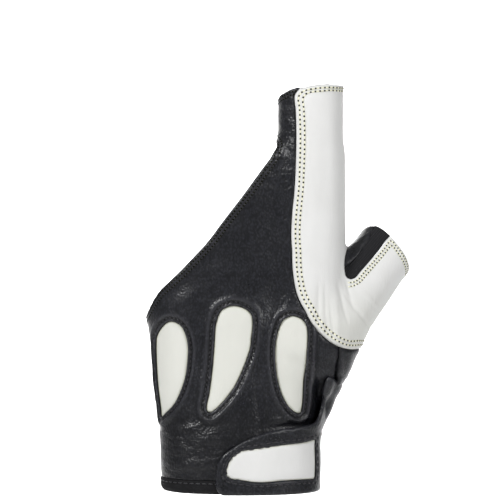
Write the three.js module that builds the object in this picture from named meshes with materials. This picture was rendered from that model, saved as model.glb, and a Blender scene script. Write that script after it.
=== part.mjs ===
import * as THREE from "three";

// Archery glove for the bow hand: a left-hand glove of black leather that covers the wrist, the palm, the
// back of the hand, the thumb and the index finger, and leaves the other three fingers bare. Millimetres.
// +Z points to the fingertips, -Y is the back of the hand, +X is the thumb's side, and the origin is the
// middle of the wrist opening. The leather is curved as it is when worn, and everything inside it is
// open.

// Driving dimensions of the worn form, measured on its outer surface
const gloveHeight = 170;
const wristWidth = 66;
const wristDepth = 45;
const indexWidth = 26.6;
const indexDepth = 24;
const thumbWidth = 25;
const thumbDepth = 24;
const thumbLength = 62;

// How the thumb stands: its rise above the horizontal in the front view, and its turn away towards the
// palm
const thumbRise = 50;
const thumbTurn = 11;
const thumbRimRise = 41;
const thumbRimTurn = 25;

// Leather, tape and gaps
const leatherWall = 1.4;
const guardRise = 0.4;
const insertDrop = 0.4;
const insertWall = 1.1;
const gussetDrop = 0.2;
const pieceGap = 0.3;
const bindingWidth = 6;
const bindingWall = 2;
const bindingRise = 0.3;
const hookPadWall = 0.8;
const strapWall = 1.4;

// Roundness of the sections, of the webs between the limbs and of the ends that are cut off
const sectionSquareness = 2.35;
const indexWeb = 6;
const thumbWeb = 5;
const endRound = 6;
const sideSeamTurn = 3;

// Shares of gloveHeight: how far up the hand's own form reaches, and where the thumb's root begins
const knuckleShare = 0.84;
const thumbRootShare = 0.45;

// The rim of the index finger falls towards the middle finger by this slope
const indexEdgeSlope = 0.11;

// The net that the leather is cut from: its step, how near to a seam a point is moved onto it, as a share
// of the step, and how many stray faces are joined to the piece around them
const meshStep = 4.9;
const closeShare = 0.24;
const islandFaces = 4;

const black = 0x303135;
const white = 0xe6e6e3;

// Sections of the hand from the wrist to the knuckles. up is a share of gloveHeight, left and right are
// shares of wristWidth, back and palm of wristDepth.
const handSections = [
  { up: -0.07, left: -0.488, right: 0.458, back: -0.475, palm: 0.48 },
  { up: 0.0, left: -0.49, right: 0.46, back: -0.475, palm: 0.49 },
  { up: 0.06, left: -0.5, right: 0.465, back: -0.475, palm: 0.5 },
  { up: 0.145, left: -0.51, right: 0.473, back: -0.467, palm: 0.53 },
  { up: 0.2, left: -0.524, right: 0.535, back: -0.45, palm: 0.57 },
  { up: 0.259, left: -0.548, right: 0.6, back: -0.43, palm: 0.6 },
  { up: 0.319, left: -0.56, right: 0.7, back: -0.413, palm: 0.61 },
  { up: 0.377, left: -0.575, right: 0.725, back: -0.4, palm: 0.6 },
  { up: 0.436, left: -0.592, right: 0.68, back: -0.39, palm: 0.55 },
  { up: 0.518, left: -0.584, right: 0.62, back: -0.375, palm: 0.45 },
  { up: 0.636, left: -0.56, right: 0.59, back: -0.36, palm: 0.37 },
  { up: 0.754, left: -0.53, right: 0.57, back: -0.34, palm: 0.28 },
  { up: 0.899, left: -0.5, right: 0.55, back: -0.31, palm: 0.2 },
];

// Sections of the thumb, from beyond its rim back into the hand. along is a share of thumbLength, outer
// and inner are shares of thumbWidth, back and palm of thumbDepth.
const thumbSections = [
  { along: -1.0, outer: 0.68, inner: 0.56, back: 0.62, palm: 0.66 },
  { along: -0.66, outer: 0.66, inner: 0.55, back: 0.6, palm: 0.62 },
  { along: -0.33, outer: 0.575, inner: 0.53, back: 0.54, palm: 0.54 },
  { along: 0.0, outer: 0.5, inner: 0.5, back: 0.5, palm: 0.5 },
  { along: 0.2, outer: 0.49, inner: 0.49, back: 0.48, palm: 0.48 },
];

// Where the middle of the index finger and of the thumb's rim stand: shares of wristWidth, wristDepth,
// gloveHeight
const indexPlace = { across: 0.444, deep: -0.09, low: 0.35, high: 1.07 };
const thumbPlace = { across: 0.935, deep: 0.2, up: 0.592 };

// Soft folds and creases of the worn leather on the back of the hand: middle, half length, half width and
// height in shares of wristWidth, turn in degrees from upright. A negative height is a crease.
const folds = [
  { across: 0.165, up: 0.338, length: 0.3, width: 0.055, turn: -4, height: 0.014 },
  { across: 0.455, up: 0.338, length: 0.28, width: 0.05, turn: -2, height: 0.012 },
  { across: 0.5, up: 0.216, length: 0.16, width: 0.05, turn: -14, height: -0.024 },
  { across: -0.25, up: 0.125, length: 0.2, width: 0.07, turn: 86, height: 0.009 },
  { across: -0.25, up: 0.075, length: 0.2, width: 0.06, turn: 92, height: 0.008 },
];

// Outlines in the front view. across is a share of wristWidth and up of gloveHeight. The edge that the
// three bare fingers come out of, from the index finger down to the outer side of the hand.
const fingerEdge = [
  { across: -0.9, up: 1.2 },
  { across: 0.15, up: 1.2 },
  { across: 0.19, up: 0.889 },
  { across: 0.222, up: 0.851 },
  { across: 0.143, up: 0.791 },
  { across: -0.123, up: 0.654 },
  { across: -0.377, up: 0.54 },
  { across: -0.52, up: 0.487 },
  { across: -0.575, up: 0.446 },
  { across: -0.7, up: 0.394 },
];

// The white guard: down its left edge, round the thumb's root, up the outer side and back along the web.
const guardOutline = [
  { across: 0.34, up: 1.1 },
  { across: 0.347, up: 0.976 },
  { across: 0.357, up: 0.871 },
  { across: 0.349, up: 0.765 },
  { across: 0.327, up: 0.677 },
  { across: 0.326, up: 0.604 },
  { across: 0.337, up: 0.531 },
  { across: 0.38, up: 0.465 },
  { across: 0.442, up: 0.42 },
  { across: 0.555, up: 0.371 },
  { across: 0.643, up: 0.353 },
  { across: 0.75, up: 0.357 },
  { across: 0.9, up: 0.363 },
  { across: 1.3, up: 0.444 },
  { across: 1.3, up: 0.697 },
  { across: 1.03, up: 0.657 },
  { across: 0.938, up: 0.622 },
  { across: 0.824, up: 0.566 },
  { across: 0.761, up: 0.538 },
  { across: 0.698, up: 0.521 },
  { across: 0.664, up: 0.54 },
  { across: 0.672, up: 0.567 },
  { across: 0.71, up: 0.6 },
  { across: 0.74, up: 0.748 },
  { across: 0.74, up: 1.1 },
];

// The stretch band's upper edge on the inner side of the thumb; what lies above it is the palm's leather.
const gussetOutline = [
  { across: 0.4, up: 0.525 },
  { across: 0.668, up: 0.547 },
  { across: 0.699, up: 0.557 },
  { across: 0.744, up: 0.577 },
  { across: 0.781, up: 0.599 },
  { across: 0.826, up: 0.621 },
  { across: 0.851, up: 0.643 },
  { across: 0.88, up: 0.697 },
  { across: 1.5, up: 0.697 },
  { across: 1.5, up: 0.292 },
  { across: 0.4, up: 0.292 },
];

// The palm's leather comes round the thumb side of the wrist as far as this seam.
const wristSeamOutline = [
  { across: 0.622, up: 0.414 },
  { across: 0.622, up: 0.372 },
  { across: 0.606, up: 0.307 },
  { across: 0.54, up: 0.249 },
  { across: 0.48, up: 0.181 },
  { across: 0.44, up: 0.09 },
  { across: 0.44, up: -0.1 },
  { across: 1.3, up: -0.1 },
  { across: 1.3, up: 0.414 },
];

const teardropOutlines = {
  outer: [
    { across: -0.434, up: 0.418 },
    { across: -0.51, up: 0.387 },
    { across: -0.526, up: 0.325 },
    { across: -0.51, up: 0.246 },
    { across: -0.49, up: 0.188 },
    { across: -0.418, up: 0.215 },
    { across: -0.34, up: 0.288 },
    { across: -0.324, up: 0.355 },
    { across: -0.365, up: 0.405 },
  ],
  middle: [
    { across: -0.021, up: 0.456 },
    { across: 0.062, up: 0.438 },
    { across: 0.075, up: 0.379 },
    { across: 0.044, up: 0.326 },
    { across: -0.043, up: 0.255 },
    { across: -0.178, up: 0.199 },
    { across: -0.19, up: 0.243 },
    { across: -0.155, up: 0.367 },
    { across: -0.117, up: 0.437 },
  ],
  inner: [
    { across: 0.34, up: 0.432 },
    { across: 0.41, up: 0.41 },
    { across: 0.423, up: 0.355 },
    { across: 0.401, up: 0.24 },
    { across: 0.368, up: 0.195 },
    { across: 0.278, up: 0.234 },
    { across: 0.227, up: 0.325 },
    { across: 0.252, up: 0.402 },
  ],
};

// The closure strap on the back of the wrist, with its free end on the left, and its root on the palm's
// side.
const strapBackOutline = [
  { across: -0.12, up: -0.1 },
  { across: -0.135, up: 0.039 },
  { across: -0.12, up: 0.082 },
  { across: -0.058, up: 0.114 },
  { across: 0.035, up: 0.136 },
  { across: 0.191, up: 0.156 },
  { across: 0.4, up: 0.172 },
  { across: 0.466, up: 0.193 },
  { across: 0.51, up: 0.248 },
  { across: 0.548, up: 0.272 },
  { across: 0.61, up: 0.284 },
  { across: 0.72, up: 0.291 },
  { across: 1.3, up: 0.31 },
  { across: 1.3, up: -0.1 },
];
const strapPalmOutline = [
  { across: 0.1, up: -0.1 },
  { across: 0.12, up: 0.161 },
  { across: 0.36, up: 0.191 },
  { across: 0.5, up: 0.247 },
  { across: 0.61, up: 0.284 },
  { across: 0.72, up: 0.291 },
  { across: 1.3, up: 0.31 },
  { across: 1.3, up: -0.1 },
];
const strapInsertOutline = [
  { across: -0.08, up: 0.056 },
  { across: -0.055, up: 0.086 },
  { across: 0.008, up: 0.105 },
  { across: 0.144, up: 0.114 },
  { across: 0.37, up: 0.127 },
  { across: 0.455, up: 0.141 },
  { across: 0.45, up: 0.084 },
  { across: 0.44, up: 0.042 },
  { across: 0.26, up: 0.036 },
  { across: 0.123, up: 0.032 },
  { across: -0.03, up: 0.038 },
];
const hookPadOutline = [
  { across: -0.07, up: 0.044 },
  { across: -0.03, up: 0.085 },
  { across: 0.25, up: 0.1 },
  { across: 0.28, up: 0.044 },
];

// A union of two rounded forms whose joint is filled by a web of the given size
function webbedUnion(first, second, web) {
  const fill = Math.max(web - Math.abs(first - second), 0) / web;
  return Math.min(first, second) - (fill * fill * web) / 4;
}

function roundedCut(form, cut) {
  return -webbedUnion(-form, -cut, endRound);
}

// Distance to a squarish oval section, below zero inside it
function ovalDistance(across, deep, halfAcross, halfDeep) {
  const acrossPower = Math.abs(across / halfAcross) ** sectionSquareness;
  const deepPower = Math.abs(deep / halfDeep) ** sectionSquareness;
  const reach = (acrossPower + deepPower) ** (1 / sectionSquareness);
  return (reach - 1) * Math.min(halfAcross, halfDeep);
}

// Sizes of a limb at any place between the rows of its table
function sectionCurve(rows, place, columns) {
  const places = rows.map(place);
  const values = rows.flatMap(columns);
  const width = values.length / rows.length;
  return new THREE.CubicInterpolant(places, values, width, new Float64Array(width));
}

const handCurve = sectionCurve(
  handSections,
  (row) => row.up * gloveHeight,
  (row) => [row.left * wristWidth, row.right * wristWidth, row.back * wristDepth, row.palm * wristDepth],
);
const thumbCurve = sectionCurve(
  thumbSections,
  (row) => row.along * thumbLength,
  (row) => [row.outer * thumbWidth, row.inner * thumbWidth, row.back * thumbDepth, row.palm * thumbDepth],
);

// A direction that rises in the front view and turns away towards the palm
function risingDirection(rise, turn) {
  const up = THREE.MathUtils.degToRad(rise);
  const away = THREE.MathUtils.degToRad(turn);
  return new THREE.Vector3(Math.cos(up) * Math.cos(away), Math.sin(away), Math.sin(up) * Math.cos(away));
}

const indexCentre = new THREE.Vector2(indexPlace.across * wristWidth, indexPlace.deep * wristDepth);
const thumbRim = new THREE.Vector3(
  thumbPlace.across * wristWidth,
  thumbPlace.deep * wristDepth,
  thumbPlace.up * gloveHeight,
);
const thumbAxis = risingDirection(thumbRise, thumbTurn);
const thumbOuterSide = risingDirection(thumbRise - 90, 0);
const thumbBackSide = new THREE.Vector3().crossVectors(thumbOuterSide, thumbAxis);
const thumbRimNormal = risingDirection(thumbRimRise, thumbRimTurn);

// Smooth closed outline from a table, and its signed distance in the front view, below zero inside
function frontOutline(rows) {
  const corners = rows.map((row) => new THREE.Vector3(row.across * wristWidth, 0, row.up * gloveHeight));
  const curve = new THREE.CatmullRomCurve3(corners, true, "centripetal");
  const points = curve.getPoints(rows.length * 6).map((point) => new THREE.Vector2(point.x, point.z));
  return (point) => outlineDistance(points, point.x, point.z);
}

function outlineDistance(points, x, z) {
  let nearest = Infinity;
  let inside = false;
  for (let end = 1; end < points.length; end += 1) {
    const from = points[end - 1];
    const to = points[end];
    const alongX = to.x - from.x;
    const alongZ = to.y - from.y;
    const lengthSquared = Math.max(alongX * alongX + alongZ * alongZ, 1e-12);
    const along = ((x - from.x) * alongX + (z - from.y) * alongZ) / lengthSquared;
    const share = THREE.MathUtils.clamp(along, 0, 1);
    nearest = Math.min(nearest, Math.hypot(x - from.x - share * alongX, z - from.y - share * alongZ));
    if (from.y > z !== to.y > z && x < from.x + ((z - from.y) / alongZ) * alongX) {
      inside = !inside;
    }
  }
  return inside ? -nearest : nearest;
}

const beyondFingerEdge = frontOutline(fingerEdge);
const guardDistance = frontOutline(guardOutline);
const gussetDistance = frontOutline(gussetOutline);
const wristSeamDistance = frontOutline(wristSeamOutline);
const teardropDistances = Object.entries(teardropOutlines).map(([name, rows]) => [name, frontOutline(rows)]);
const strapBackDistance = frontOutline(strapBackOutline);
const strapPalmDistance = frontOutline(strapPalmOutline);
const strapInsertDistance = frontOutline(strapInsertOutline);
const hookPadDistance = frontOutline(hookPadOutline);

// The closed form that the leather lies on goes a little past each edge of the leather, which is cut
// afterwards. The hand's own form ends at the knuckles, so that the index finger stands clear of it.
const pastEdge = 1.5 * meshStep;
const knuckleTop = knuckleShare * gloveHeight;

// Each limb's distance, and how far a point lies on its palm side
function handLimb(point) {
  const [left, right, back, palm] = handCurve.evaluate(point.z);
  const across = point.x - (left + right) / 2;
  const deep = point.y - (back + palm) / 2;
  const side = ovalDistance(across, deep, (right - left) / 2, (palm - back) / 2);
  const belowWrist = -point.z - pastEdge;
  const aboveFingers = Math.max(-beyondFingerEdge(point) - pastEdge, point.z - knuckleTop);
  return { distance: roundedCut(roundedCut(side, belowWrist), aboveFingers), palmward: deep };
}

function indexLimb(point) {
  const across = point.x - indexCentre.x;
  const deep = point.y - indexCentre.y;
  const side = ovalDistance(across, deep, indexWidth / 2, indexDepth / 2);
  const ends = Math.max(indexPlace.low * gloveHeight - point.z, point.z - indexPlace.high * gloveHeight);
  return { distance: roundedCut(side, ends), palmward: deep };
}

function thumbLimb(point) {
  const fromRim = point.clone().sub(thumbRim);
  const along = fromRim.dot(thumbAxis);
  const [outer, inner, back, palm] = thumbCurve.evaluate(along);
  const outward = fromRim.dot(thumbOuterSide);
  const backward = fromRim.dot(thumbBackSide);
  const side = ovalDistance(outward, backward, outward > 0 ? outer : inner, backward > 0 ? back : palm);
  const ends = Math.max(-along - thumbLength, along - pastEdge - endRound);
  return { distance: roundedCut(side, ends), palmward: -backward };
}

function foldHeight(point) {
  let height = 0;
  for (const fold of folds) {
    const turn = THREE.MathUtils.degToRad(fold.turn);
    const across = point.x - fold.across * wristWidth;
    const up = point.z - fold.up * gloveHeight;
    const along = (up * Math.cos(turn) + across * Math.sin(turn)) / (fold.length * wristWidth);
    const beside = (across * Math.cos(turn) - up * Math.sin(turn)) / (fold.width * wristWidth);
    height += fold.height * wristWidth * Math.exp(-(along ** 4) - beside ** 2);
  }
  return height;
}

// The outer surface of the worn leather is where this is zero.
function wornForm(point) {
  const hand = handLimb(point).distance;
  const handAndIndex = webbedUnion(hand, indexLimb(point).distance, indexWeb);
  const hull = webbedUnion(handAndIndex, thumbLimb(point).distance, thumbWeb);
  const onBack = THREE.MathUtils.smoothstep(-point.y, 0, wristDepth / 6);
  return hull - onBack * foldHeight(point);
}

// The side seams run along every limb, turned a little to the palm side of its widest line.
function palmSide(point) {
  const limbs = [handLimb(point), indexLimb(point), thumbLimb(point)];
  let total = 0;
  let palmward = 0;
  for (const limb of limbs) {
    const weight = Math.exp(-Math.max(limb.distance, -2 * indexWeb) / indexWeb);
    total += weight;
    palmward += weight * limb.palmward;
  }
  return palmward / total - sideSeamTurn;
}

function outwardSlope(point) {
  const step = 0.02;
  const slope = new THREE.Vector3();
  for (const axis of ["x", "y", "z"]) {
    const ahead = point.clone();
    const behind = point.clone();
    ahead[axis] += step;
    behind[axis] -= step;
    slope[axis] = (wornForm(ahead) - wornForm(behind)) / (2 * step);
  }
  return slope;
}

function settleOnForm(point) {
  for (let turn = 0; turn < 3; turn += 1) {
    const slope = outwardSlope(point);
    point.addScaledVector(slope, -wornForm(point) / Math.max(slope.lengthSq(), 0.05));
  }
  return point;
}

// A net of faces over the form: one point in each grid cell that the surface passes through
function netOverForm() {
  const low = new THREE.Vector3(-0.75 * wristWidth, -0.65 * wristDepth, -2.5 * pastEdge);
  const reach = thumbAxis.clone().multiplyScalar(2 * pastEdge).add(thumbRim).addScalar(thumbWidth);
  const top = indexPlace.high * gloveHeight + 2 * meshStep;
  const high = new THREE.Vector3(reach.x, Math.max(wristDepth, reach.y), top);
  const counts = high.clone().sub(low).divideScalar(meshStep).ceil();
  const at = (x, y, z) => (z * (counts.y + 1) + y) * (counts.x + 1) + x;
  const place = (x, y, z) => new THREE.Vector3(x, y, z).multiplyScalar(meshStep).add(low);
  const values = [];
  for (let z = 0; z <= counts.z; z += 1) {
    for (let y = 0; y <= counts.y; y += 1) {
      for (let x = 0; x <= counts.x; x += 1) {
        values[at(x, y, z)] = wornForm(place(x, y, z));
      }
    }
  }

  const corners = [0, 1, 2, 3, 4, 5, 6, 7].map((corner) => [corner & 1, (corner >> 1) & 1, corner >> 2]);
  const edges = [];
  for (const from of corners) {
    for (const to of corners) {
      const stepsApart = to.map((value, axis) => value - from[axis]);
      if (Math.min(...stepsApart) === 0 && stepsApart[0] + stepsApart[1] + stepsApart[2] === 1) {
        edges.push([from, to]);
      }
    }
  }

  const points = [];
  const pointOf = new Map();
  for (let z = 0; z < counts.z; z += 1) {
    for (let y = 0; y < counts.y; y += 1) {
      for (let x = 0; x < counts.x; x += 1) {
        const middle = new THREE.Vector3();
        let crossings = 0;
        for (const [from, to] of edges) {
          const first = values[at(x + from[0], y + from[1], z + from[2])];
          const second = values[at(x + to[0], y + to[1], z + to[2])];
          if (first < 0 !== second < 0) {
            const start = place(x + from[0], y + from[1], z + from[2]);
            middle.add(start.lerp(place(x + to[0], y + to[1], z + to[2]), first / (first - second)));
            crossings += 1;
          }
        }
        if (crossings > 0) {
          pointOf.set(at(x, y, z), points.length);
          points.push(middle.divideScalar(crossings));
        }
      }
    }
  }

  // Every grid edge that the surface crosses carries one four-sided face between the four cells around it.
  const quads = [];
  const rounds = [
    { edge: [1, 0, 0], ring: [[0, 0, 0], [0, -1, 0], [0, -1, -1], [0, 0, -1]] },
    { edge: [0, 1, 0], ring: [[0, 0, 0], [0, 0, -1], [-1, 0, -1], [-1, 0, 0]] },
    { edge: [0, 0, 1], ring: [[0, 0, 0], [-1, 0, 0], [-1, -1, 0], [0, -1, 0]] },
  ];
  for (let z = 1; z < counts.z; z += 1) {
    for (let y = 1; y < counts.y; y += 1) {
      for (let x = 1; x < counts.x; x += 1) {
        for (const { edge, ring } of rounds) {
          const first = values[at(x, y, z)];
          const second = values[at(x + edge[0], y + edge[1], z + edge[2])];
          if (first < 0 === second < 0) {
            continue;
          }
          const quad = ring.map((cell) => pointOf.get(at(x + cell[0], y + cell[1], z + cell[2])));
          quads.push(first < 0 ? quad : quad.reverse());
        }
      }
    }
  }
  return { points, quads };
}

// Evens out the net by drawing each point to the middle of its neighbours, then back onto the form
function evenOut(points, quads, rounds) {
  const neighbours = points.map(() => new Set());
  for (const quad of quads) {
    quad.forEach((corner, index) => {
      neighbours[corner].add(quad[(index + 1) % 4]);
      neighbours[corner].add(quad[(index + 3) % 4]);
    });
  }
  for (let round = 0; round < rounds; round += 1) {
    const middles = neighbours.map((set) => {
      const middle = new THREE.Vector3();
      set.forEach((neighbour) => middle.add(points[neighbour]));
      return middle.divideScalar(set.size);
    });
    middles.forEach((middle, index) => points[index].lerp(middle, 0.6));
    points.forEach(settleOnForm);
  }
}

function trianglesOf(points, quads) {
  const faces = [];
  for (const [a, b, c, d] of quads) {
    if (points[a].distanceTo(points[c]) < points[b].distanceTo(points[d])) {
      faces.push([a, b, c], [a, c, d]);
    } else {
      faces.push([a, b, d], [b, c, d]);
    }
  }
  return faces;
}

function faceMiddle(net, face) {
  const middle = new THREE.Vector3();
  face.forEach((corner) => middle.add(net.points[corner]));
  return middle.divideScalar(3);
}

// Cuts the net along a seam, so that no face lies across it. A point close to the seam is moved onto it,
// unless it already lies on another one, which keeps slim faces out.
function cutAlong(net, seam, applies) {
  const values = net.points.map((point) => seam(point));
  const concerned = net.faces.filter((face) => applies(faceMiddle(net, face)));
  const moves = new Map();
  for (const face of concerned) {
    face.forEach((from, index) => {
      const to = face[(index + 1) % 3];
      for (const [near, far] of [[from, to], [to, from]]) {
        if (values[near] * values[far] < 0) {
          const share = values[near] / (values[near] - values[far]);
          const best = moves.get(near);
          const limit = net.onSeam.has(near) ? closeShare / 2 : closeShare;
          if (share < limit && (!best || share < best.share)) {
            moves.set(near, { share, far });
          }
        }
      }
    });
  }
  const oldPoints = net.points.map((point) => point.clone());
  for (const [near, { share, far }] of moves) {
    if (!net.onSeam.has(near)) {
      net.points[near].lerp(oldPoints[far], share);
      settleOnForm(net.points[near]);
      net.onSeam.add(near);
    }
    values[near] = 0;
  }

  const cutPoints = new Map();
  const edgeKey = (from, to) => (from < to ? `${from}_${to}` : `${to}_${from}`);
  for (const face of concerned) {
    face.forEach((from, index) => {
      const to = face[(index + 1) % 3];
      if (values[from] * values[to] < 0 && !cutPoints.has(edgeKey(from, to))) {
        const share = values[from] / (values[from] - values[to]);
        cutPoints.set(edgeKey(from, to), net.points.length);
        net.onSeam.add(net.points.length);
        net.points.push(settleOnForm(net.points[from].clone().lerp(net.points[to], share)));
      }
    });
  }
  const cutPoint = (from, to) => cutPoints.get(edgeKey(from, to));
  net.faces = net.faces.flatMap((face) => cutFace(net, face, cutPoint));
}

// The smaller faces that one face becomes when some of its edges have been given a point
function cutFace(net, face, cutPoint) {
  const cuts = face.map((corner, index) => cutPoint(corner, face[(index + 1) % 3]));
  const count = cuts.filter((cut) => cut !== undefined).length;
  if (count === 0) {
    return [face];
  }
  if (count === 3) {
    return [
      [face[0], cuts[0], cuts[2]],
      [face[1], cuts[1], cuts[0]],
      [face[2], cuts[2], cuts[1]],
      cuts,
    ];
  }
  if (count === 1) {
    const index = cuts.findIndex((cut) => cut !== undefined);
    const [a, b, c] = [face[index], face[(index + 1) % 3], face[(index + 2) % 3]];
    return [[a, cuts[index], c], [cuts[index], b, c]];
  }
  const whole = cuts.findIndex((cut) => cut === undefined);
  const [b, c, a] = [face[whole], face[(whole + 1) % 3], face[(whole + 2) % 3]];
  const afterC = cuts[(whole + 1) % 3];
  const afterA = cuts[(whole + 2) % 3];
  if (net.points[b].distanceTo(net.points[afterC]) < net.points[c].distanceTo(net.points[afterA])) {
    return [[a, afterA, afterC], [afterA, b, afterC], [b, c, afterC]];
  }
  return [[a, afterA, afterC], [afterA, b, c], [afterA, c, afterC]];
}

// The seams and edges of the glove, each with where it applies
const onBack = (point) => palmSide(point) < 0;
const onPalm = (point) => palmSide(point) >= 0;
const everywhere = () => true;
const indexOuterSide = indexCentre.x + indexWidth / 2;
const cuffEdge = (point) => point.z;
const indexEdge = (point) => point.z - gloveHeight + (indexOuterSide - point.x) * indexEdgeSlope;
const thumbEdge = (point) => point.clone().sub(thumbRim).dot(thumbRimNormal);
const nearThumbEdge = (point) => thumbLimb(point).distance < thumbWeb && point.x > indexOuterSide;
const bindingEdge = (point) => point.z - bindingWidth;
const thumbRootUp = thumbRootShare * gloveHeight;
const besideGuard = (point) => onBack(point) && guardDistance(point) > 0;
const insideThumbGap = (point) => besideGuard(point) && point.x > indexCentre.x && point.z > thumbRootUp;
const besideWrist = (point) => besideGuard(point) && point.z < thumbRootUp;

const { points, quads } = netOverForm();
evenOut(points, quads, 5);
const net = { points, faces: trianglesOf(points, quads), onSeam: new Set() };

cutAlong(net, cuffEdge, everywhere);
cutAlong(net, indexEdge, everywhere);
cutAlong(net, thumbEdge, nearThumbEdge);
cutAlong(net, beyondFingerEdge, everywhere);
net.faces = net.faces.filter((face) => {
  const middle = faceMiddle(net, face);
  const pastThumb = nearThumbEdge(middle) && thumbEdge(middle) > 0;
  return cuffEdge(middle) > 0 && indexEdge(middle) < 0 && !pastThumb && beyondFingerEdge(middle) > 0;
});
cutAlong(net, bindingEdge, everywhere);
cutAlong(net, palmSide, (point) => bindingEdge(point) > 0);
cutAlong(net, guardDistance, onBack);
cutAlong(net, gussetDistance, insideThumbGap);
cutAlong(net, wristSeamDistance, besideWrist);
for (const [, distance] of teardropDistances) {
  cutAlong(net, distance, onBack);
}
cutAlong(net, strapBackDistance, onBack);
cutAlong(net, strapPalmDistance, onPalm);
cutAlong(net, strapInsertDistance, onBack);
cutAlong(net, hookPadDistance, onBack);

// Which piece of the first layer a place on the net belongs to
function pieceAt(point) {
  if (bindingEdge(point) < 0) {
    return "cuff_binding";
  }
  if (onPalm(point)) {
    return "palm_panel";
  }
  if (guardDistance(point) < 0) {
    return "guard_panel";
  }
  for (const [name, distance] of teardropDistances) {
    if (distance(point) < 0) {
      return `teardrop_insert_${name}`;
    }
  }
  if (insideThumbGap(point)) {
    return gussetDistance(point) < 0 ? "thumb_gusset" : "palm_panel";
  }
  return wristSeamDistance(point) < 0 ? "palm_panel" : "back_panel";
}

// What lies over the first layer, above the cuff: the strap with its insert, and the hook pad under them
function strapPieceAt(point) {
  if (onBack(point) && strapInsertDistance(point) < 0) {
    return "strap_insert";
  }
  const distance = onBack(point) ? strapBackDistance(point) : strapPalmDistance(point);
  return distance < 0 ? "closure_strap" : "none";
}

function hookPieceAt(point) {
  const covered = onBack(point) && hookPadDistance(point) < 0 && bindingEdge(point) > 0;
  return covered ? "hook_pad" : "none";
}

// The piece of each face. A few faces that a seam left on its wrong side join the piece around them.
function sortFaces(pieceAtPlace) {
  const pieceOf = new Map(net.faces.map((face) => [face, pieceAtPlace(faceMiddle(net, face))]));
  const facesAt = new Map();
  const edgeKey = (from, to) => `${Math.min(from, to)}_${Math.max(from, to)}`;
  const edgesOf = (face) => face.map((from, index) => edgeKey(from, face[(index + 1) % 3]));
  for (const face of net.faces) {
    for (const edge of edgesOf(face)) {
      facesAt.set(edge, [...(facesAt.get(edge) ?? []), face]);
    }
  }
  const besideEdge = (face, edge) => facesAt.get(edge).filter((other) => other !== face);
  const neighboursOf = (face) => edgesOf(face).flatMap((edge) => besideEdge(face, edge));
  const patches = [];
  const seen = new Set();
  for (const start of net.faces) {
    if (seen.has(start)) {
      continue;
    }
    const patch = [start];
    seen.add(start);
    for (const face of patch) {
      for (const other of neighboursOf(face)) {
        if (!seen.has(other) && pieceOf.get(other) === pieceOf.get(face)) {
          seen.add(other);
          patch.push(other);
        }
      }
    }
    patches.push(patch);
  }
  patches.sort((first, second) => first.length - second.length);
  for (const patch of patches.filter((faces) => faces.length <= islandFaces)) {
    const around = patch.flatMap(neighboursOf).find((other) => !patch.includes(other));
    patch.forEach((face) => pieceOf.set(face, pieceOf.get(around)));
  }
  return pieceOf;
}

// A closed piece of leather over some faces of the net, between two heights above it, drawn in at its
// edges by half of the gap to its neighbours
function leatherPiece(name, faces, innerHeight, outerHeight, material) {
  const inward = new Map();
  const edgeCount = new Map();
  for (const face of faces) {
    face.forEach((from, index) => edgeCount.set(`${from}_${face[(index + 1) % 3]}`, true));
  }
  const normals = new Map();
  for (const corner of new Set(faces.flat())) {
    normals.set(corner, outwardSlope(net.points[corner]).normalize());
    inward.set(corner, new THREE.Vector3());
  }
  const rimEdges = [];
  for (const face of faces) {
    face.forEach((from, index) => {
      const to = face[(index + 1) % 3];
      if (!edgeCount.has(`${to}_${from}`)) {
        rimEdges.push([from, to]);
        const along = net.points[to].clone().sub(net.points[from]).normalize();
        inward.get(from).add(new THREE.Vector3().crossVectors(normals.get(from), along));
        inward.get(to).add(new THREE.Vector3().crossVectors(normals.get(to), along));
      }
    });
  }

  const corners = [...normals.keys()];
  const slotOf = new Map(corners.map((corner, index) => [corner, index]));
  const positions = new Float32Array(corners.length * 6);
  corners.forEach((corner, index) => {
    const drawnIn = inward.get(corner);
    const spread = Math.max(drawnIn.lengthSq(), 1.2);
    const base = net.points[corner].clone().addScaledVector(drawnIn, pieceGap / spread);
    base.clone().addScaledVector(normals.get(corner), outerHeight).toArray(positions, index * 3);
    base.addScaledVector(normals.get(corner), innerHeight).toArray(positions, (corners.length + index) * 3);
  });
  const below = corners.length;
  const indices = [];
  for (const face of faces) {
    const [a, b, c] = face.map((corner) => slotOf.get(corner));
    indices.push(a, b, c, below + a, below + c, below + b);
  }
  // Both sides of a seam split the faces of their walls alike, so that the gap between them stays even.
  for (const [from, to] of rimEdges) {
    const [a, b] = [slotOf.get(from), slotOf.get(to)];
    if (from < to) {
      indices.push(a, below + a, below + b, a, below + b, b);
    } else {
      indices.push(a, below + a, b, below + a, below + b, b);
    }
  }
  const geometry = new THREE.BufferGeometry();
  geometry.setAttribute("position", new THREE.BufferAttribute(positions, 3));
  geometry.setIndex(indices);
  geometry.computeVertexNormals();
  const mesh = new THREE.Mesh(geometry, material);
  mesh.name = name;
  return mesh;
}

const grainedLeather = new THREE.MeshStandardMaterial({ color: black, roughness: 0.55, metalness: 0 });
const whiteLeather = new THREE.MeshStandardMaterial({ color: white, roughness: 0.6, metalness: 0 });
const stretchKnit = new THREE.MeshStandardMaterial({ color: 0x262628, roughness: 0.95, metalness: 0 });
const tape = new THREE.MeshStandardMaterial({ color: 0x1f1f21, roughness: 0.85, metalness: 0 });

const firstLayer = [
  { name: "back_panel", rise: 0, wall: leatherWall, material: grainedLeather },
  { name: "palm_panel", rise: 0, wall: leatherWall, material: grainedLeather },
  { name: "guard_panel", rise: guardRise, wall: leatherWall + guardRise, material: whiteLeather },
  { name: "thumb_gusset", rise: -gussetDrop, wall: leatherWall - gussetDrop, material: stretchKnit },
  { name: "cuff_binding", rise: bindingRise, wall: bindingWall, material: tape },
  ...Object.keys(teardropOutlines).map((name) => ({
    name: `teardrop_insert_${name}`,
    rise: -insertDrop,
    wall: insertWall,
    material: whiteLeather,
  })),
];

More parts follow.
